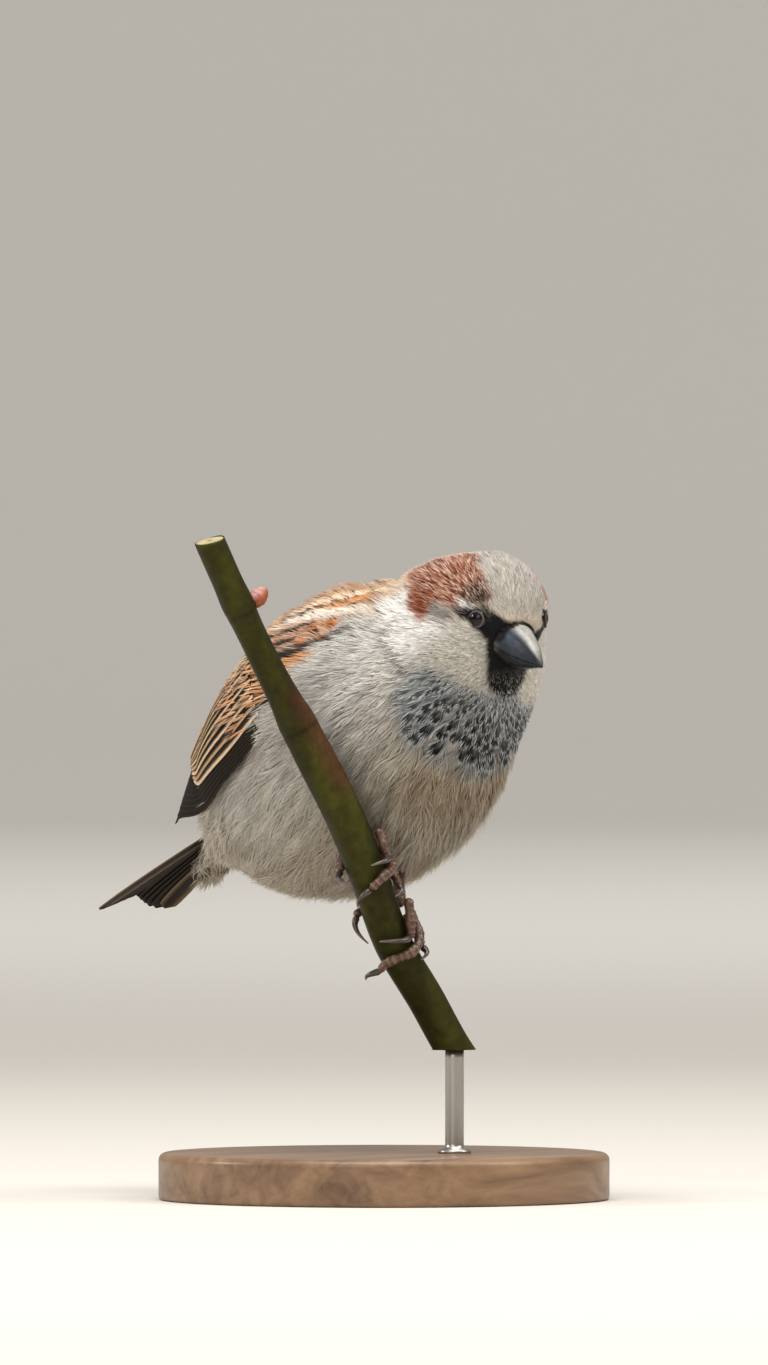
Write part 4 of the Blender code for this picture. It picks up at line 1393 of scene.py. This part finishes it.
def make_stem():
    heights = np.linspace(STEM_FOOT - 5, STEM[0][2], 300)
    count = 64
    turn, z = np.degrees(angles(count))[None], heights[:, None]

    def node_line(width):
        return [np.exp(-(((z - node + 1.6) / width) ** 2)) for node in STEM_NODES]

    radius = stem_radius(z) + 0.05 * np.sin(np.radians(turn * 5) + z * 0.11)
    radius = radius - 0.07 * sum(node_line(0.35))
    everywhere = (np.broadcast_to(x, radius.shape).ravel() for x in (turn, z, radius))
    rings = round_stem(*everywhere).reshape(*radius.shape, 3)
    normal = unit(rings - rings.mean(1, keepdims=True))
    lean = stem_lean(heights)[:, None]
    rings = rings + np.maximum(STEM_FOOT - rings[..., 2:], 0) * lean / lean[..., 2:]
    lit, warm, scar = unit(np.array(((0.25, -0.65, 0.6), (0.95, 0.25, -0.1), (0.55, -0.80, 0.2))))
    share = smooth(0.35, 0.95, normal @ warm) * between(84, 90, 106, 112, z)
    # The side that faces lit is painted a brighter olive: painted light.
    shade = blend(OLIVE, (0.052, 0.050, 0.006), smooth(-0.2, 0.9, normal @ lit))
    shade = blend(shade, (0.07, 0.020, 0.012), share * 0.6)
    cloud = np.sin(np.radians(turn * 2) + z * 0.23) * np.sin(z * 0.11 + np.radians(turn))
    shade = shade * (1 + 0.28 * cloud)[..., None]
    for dark in node_line(0.5):
        shade = shade * (1 - 0.4 * dark)[..., None]
    oval = np.hypot((1 - normal @ scar) / 0.10, (z - 101.2) / 1.3)
    shade = blend(shade, (0.10, 0.12, 0.02), falls(0.7, 1.1, oval))
    # the cut face on top, ring by ring towards its pith
    rim, middle = rings[-1], rings[-1].mean(0)
    cuts = ((0.95, OLIVE), (0.90, WOOD * 0.8), (0.5, WOOD), (0.2, WOOD * 0.9), (0.16, WOOD * 0.4))
    for size, tone in cuts:
        cut = middle + (rim - middle) * size + (0, 0, 0.05 if size < 0.94 else 0)
        rings = np.concatenate([rings, cut[None]])
        shade = np.concatenate([shade, np.broadcast_to(tone, (1, count, 3))])
    piece(loft("stem", rings, BARK, shade), "stem", "perch_stem")


def make_bud():
    root = round_stem([BUD_FACING], [BUD_HEIGHT], stem_radius(BUD_HEIGHT) - 0.2)[0]
    t = np.linspace(0, 1, 26)
    path = root + np.outer(t * 4.0, unit(root - stem_middle(BUD_HEIGHT)[0]))
    path = path + np.outer(t**2 * 0.9, (0, 0, 1))
    radii = np.interp(t, (0, 0.12, 0.42, 0.75, 0.92, 1), (1.5, 1.75, 2.05, 1.55, 0.9, 0.3))
    rings, around = tube_rings(path, radii, 32)
    over = (t[:, None] * 2.6 + 0.5 * np.abs(np.sin(angles(32)))) % 1.0
    rings = path[:, None] + (rings - path[:, None]) * (1 + 0.08 * (over - 0.5))[..., None]
    # The upper side is painted paler: painted light from above.
    tone = blend((0.30, 0.075, 0.025), (0.46, 0.24, 0.20), smooth(-0.1, 0.6, unit(around)[..., 2]))
    tone = blend(tone, (0.20, 0.05, 0.03), falls(0.0, 0.25, over) * 0.7)
    piece(loft("bud", rings, BUD, tone), "bud", "perch_bud")


def grip(turn, height, lift):
    away = stem_radius(height) + GAP * 0.3 + TOE_RADIUS + lift
    drop = round_stem(turn, height, away)[:, 2] - height
    return round_stem(turn, height - drop, away)


def toe_run(knots, start, end, steps):
    """Angles, heights and lifts along a toe, and the share of the way."""
    t = np.linspace(0, 1, steps)
    numbered = [(i, *knot) for i, knot in enumerate(knots)]
    return *through(numbered, start + (end - start) * t).T, t


def scaly(name, path, radii, out, node, scutes=1.25):
    """A toe or leg with overlapping scales across its outer side."""
    rings, around = tube_rings(path, radii, 20)
    run = np.concatenate([[0], np.cumsum(np.linalg.norm(np.diff(path, axis=0), axis=1))])
    phase = ((run / scutes) % 1.0)[:, None]
    front = smooth(-0.1, 0.5, (unit(around) * out[:, None]).sum(-1))
    # both ends are rounded off
    cap, end = (
        np.sqrt(1 - (1 - np.clip(left / (reach * radii.max()), 0, 1)) ** 2)
        for left, reach in ((run, 1.2), (run[-1] - run, 0.8))
    )
    bump = 1 + 0.17 * (phase - 0.25) * front
    bump = bump * (np.maximum(cap, 0.05) * np.maximum(end, 0.2))[:, None]
    rings = path[:, None] + (rings - path[:, None]) * bump[..., None]
    # On the outer side each scale's raised edge is painted pale, partly its own pale edge and
    # partly a painted highlight, and the groove just past it dark, a painted shade.
    pale = front * smooth(0.55, 0.95, phase) * 0.6
    shade = blend((0.080, 0.037, 0.021), (0.27, 0.16, 0.11), pale)
    shade = blend(shade, (0.012, 0.006, 0.004), falls(0.0, 0.18, phase) * front * 0.7)
    piece(loft(name, rings, LEG, shade), "leg", node)


def make_feet():
    for side, toes in TOES.items():
        for toe, knots in toes.items():
            last = len(knots) - 1
            turn, height, lift, t = toe_run(knots, 0, last - 1, 60)
            path = grip(turn, height, lift)
            out = unit(path - stem_middle(path[:, 2]))
            thick = TOE_RADIUS * np.interp(t, (0, 0.6, 0.93, 1), (1.08, 1.0, 0.86, 0.6))
            pads = 1.12 + 0.12 * np.cos(t * math.pi * 2 * (last - 1))
            scaly(f"scaly_{toe}_{side}", path + out * 0.12, thick * pads, out, f"toe_{toe}_{side}")
            turn, height, lift, t = toe_run(knots, last - 0.98, last, 24)
            claw = grip(turn, height, lift + 1.5 * CLAW_BOW * np.sin(math.pi * t) - t / 2)
            radii = np.interp(t, (0, 0.12, 0.5, 1), (0.55, 0.78, 0.52, 0.16))
            tone = blend((0.050, 0.034, 0.028), (0.15, 0.115, 0.10), smooth(0.5, 1.0, t)[:, None])
            nail = loft(f"nail_{toe}_{side}", tube_rings(claw, radii, 16)[0], CLAW, tone)
            piece(nail, "claw", f"claw_{toe}_{side}")
        starts = [toe_run(knots, 0, 1, 2)[:3] for knots in toes.values()]
        palm = np.mean([grip(*start)[0] for start in starts], axis=0)
        t = np.linspace(0, 1, 50)
        path = ANKLES[side] + (palm - ANKLES[side]) * t[:, None]
        thick = np.interp(t, (0, 0.7, 1), (1.3, 1.0, 1.35)) * TARSUS_RADIUS
        out = np.tile(unit(np.array((0.6, -0.5, 0.3))), (50, 1))
        scaly("scaly_leg_" + side, path, thick, out, "tarsus_" + side, scutes=1.6)


def make_stand():
    top, foot = BASE_HEIGHT, stem_middle(STEM_FOOT)[0]
    profile = [(BASE_RADIUS - 1.0, 0), (BASE_RADIUS - 0.2, 0.25), (BASE_RADIUS, 0.9)]
    profile += quarter_round(BASE_RADIUS, top, 1.6, 10) + [(r, top) for r in (40, 28, 14, 4)]
    piece(revolve("base", profile, 160, wood_material()), "base", "stand_base")
    profile = [(ROD_RADIUS + 1.6, top), (ROD_RADIUS + 1.5, top + 0.7), (ROD_RADIUS, top + 1.1)]
    profile += [(ROD_RADIUS, z) for z in np.linspace(top + 2, STEM_FOOT + 0.2, 12)]
    piece(revolve("rod", profile, 48, metal_material(), foot), "rod", "stand_rod")


def wood_material():
    made, tree, shader = material("Base wood", 0.42, coat=0.12)
    place, mapping = add_node(tree, "TexCoord"), add_node(tree, "Mapping", Scale=(14, 1.4, 14))
    mapping.inputs["Rotation"].default_value = (0, 0, math.radians(25))
    noise = add_noise(tree, 14.0, 8.0, Roughness=0.62, Distortion=0.6)
    wire(tree, (place, "Object", mapping, "Vector"), (mapping, "Vector", noise, "Vector"))
    add_ramp(tree, noise, shader, (0.12, 0.065, 0.035), (0.30, 0.18, 0.10), (0.3, 0.7))
    add_bump(tree, noise, shader, 0.12, 0.0004)
    return made


def metal_material():
    made, tree, shader = material("Rod metal", 0.35, metallic=1.0)
    add_ramp(tree, add_noise(tree, 900.0, 3.0), shader, (0.38, 0.36, 0.33), (0.52, 0.50, 0.47))
    return made


SKIN = painted("Skin", 900.0, 0.12, 0.2, 0.9, 0.1)
FEATHER = painted("Body feathers", 700.0, 0.10, 0.0, 0.85, 0.10, sheen=0.12)
VANE = painted("Stiff feathers", 1500.0, 0.12, 0.25, 0.65, 0.08)
EYE = painted("Eye", 500.0, 0.05, 0.0, 0.03, 0.3)
LID = painted("Lid", 1500.0, 0.15, 0.2, 0.55, 0.4)
HORN = painted("Bill horn", 600.0, 0.25, 0.22, 0.30, 0.35)
LEG = painted("Leg scales", 1600.0, 0.16, 0.3, 0.34, 0.55)
CLAW = painted("Claw horn", 900.0, 0.10, 0.1, 0.28, 0.5, coat=0.2)
BARK = painted("Green bark", 420.0, 0.30, 0.30, 0.5, 0.10)
BUD = painted("Bud scales", 900.0, 0.15, 0.3, 0.5, 0.4)

make_camera()
make_world()
make_stage()
make_light("Key", (0.25, -0.35, 1.5), (0, 0, 0.1), 1.3, 30, (1, 0.98, 0.955))
make_light("Right", (1.1, 0.55, 1.1), (0, 0, 0.1), 0.9, 12, (1, 0.97, 0.93))
make_light("Front", (0.6, -1.9, 0.9), (0, 0, 0.1), 1.2, 9, (1, 0.97, 0.94))
make_light("Catchlight", (-1.10, -0.85, 0.65), (0.02, 0, 0.12), 0.42, 7.0, (0.97, 0.98, 1))
make_light("Backdrop", (-1.0, 1.5, 2.6), (-4.2, 4.6, 1.2), 2.0, 90, (0.97, 0.98, 1))
make_coat(*make_skin())
make_bristles()
make_eyes()
make_bill()
make_wings()
make_tail()
make_stem()
make_bud()
make_feet()
make_stand()

scene = bpy.context.scene
scene.view_settings.view_transform = "Standard"
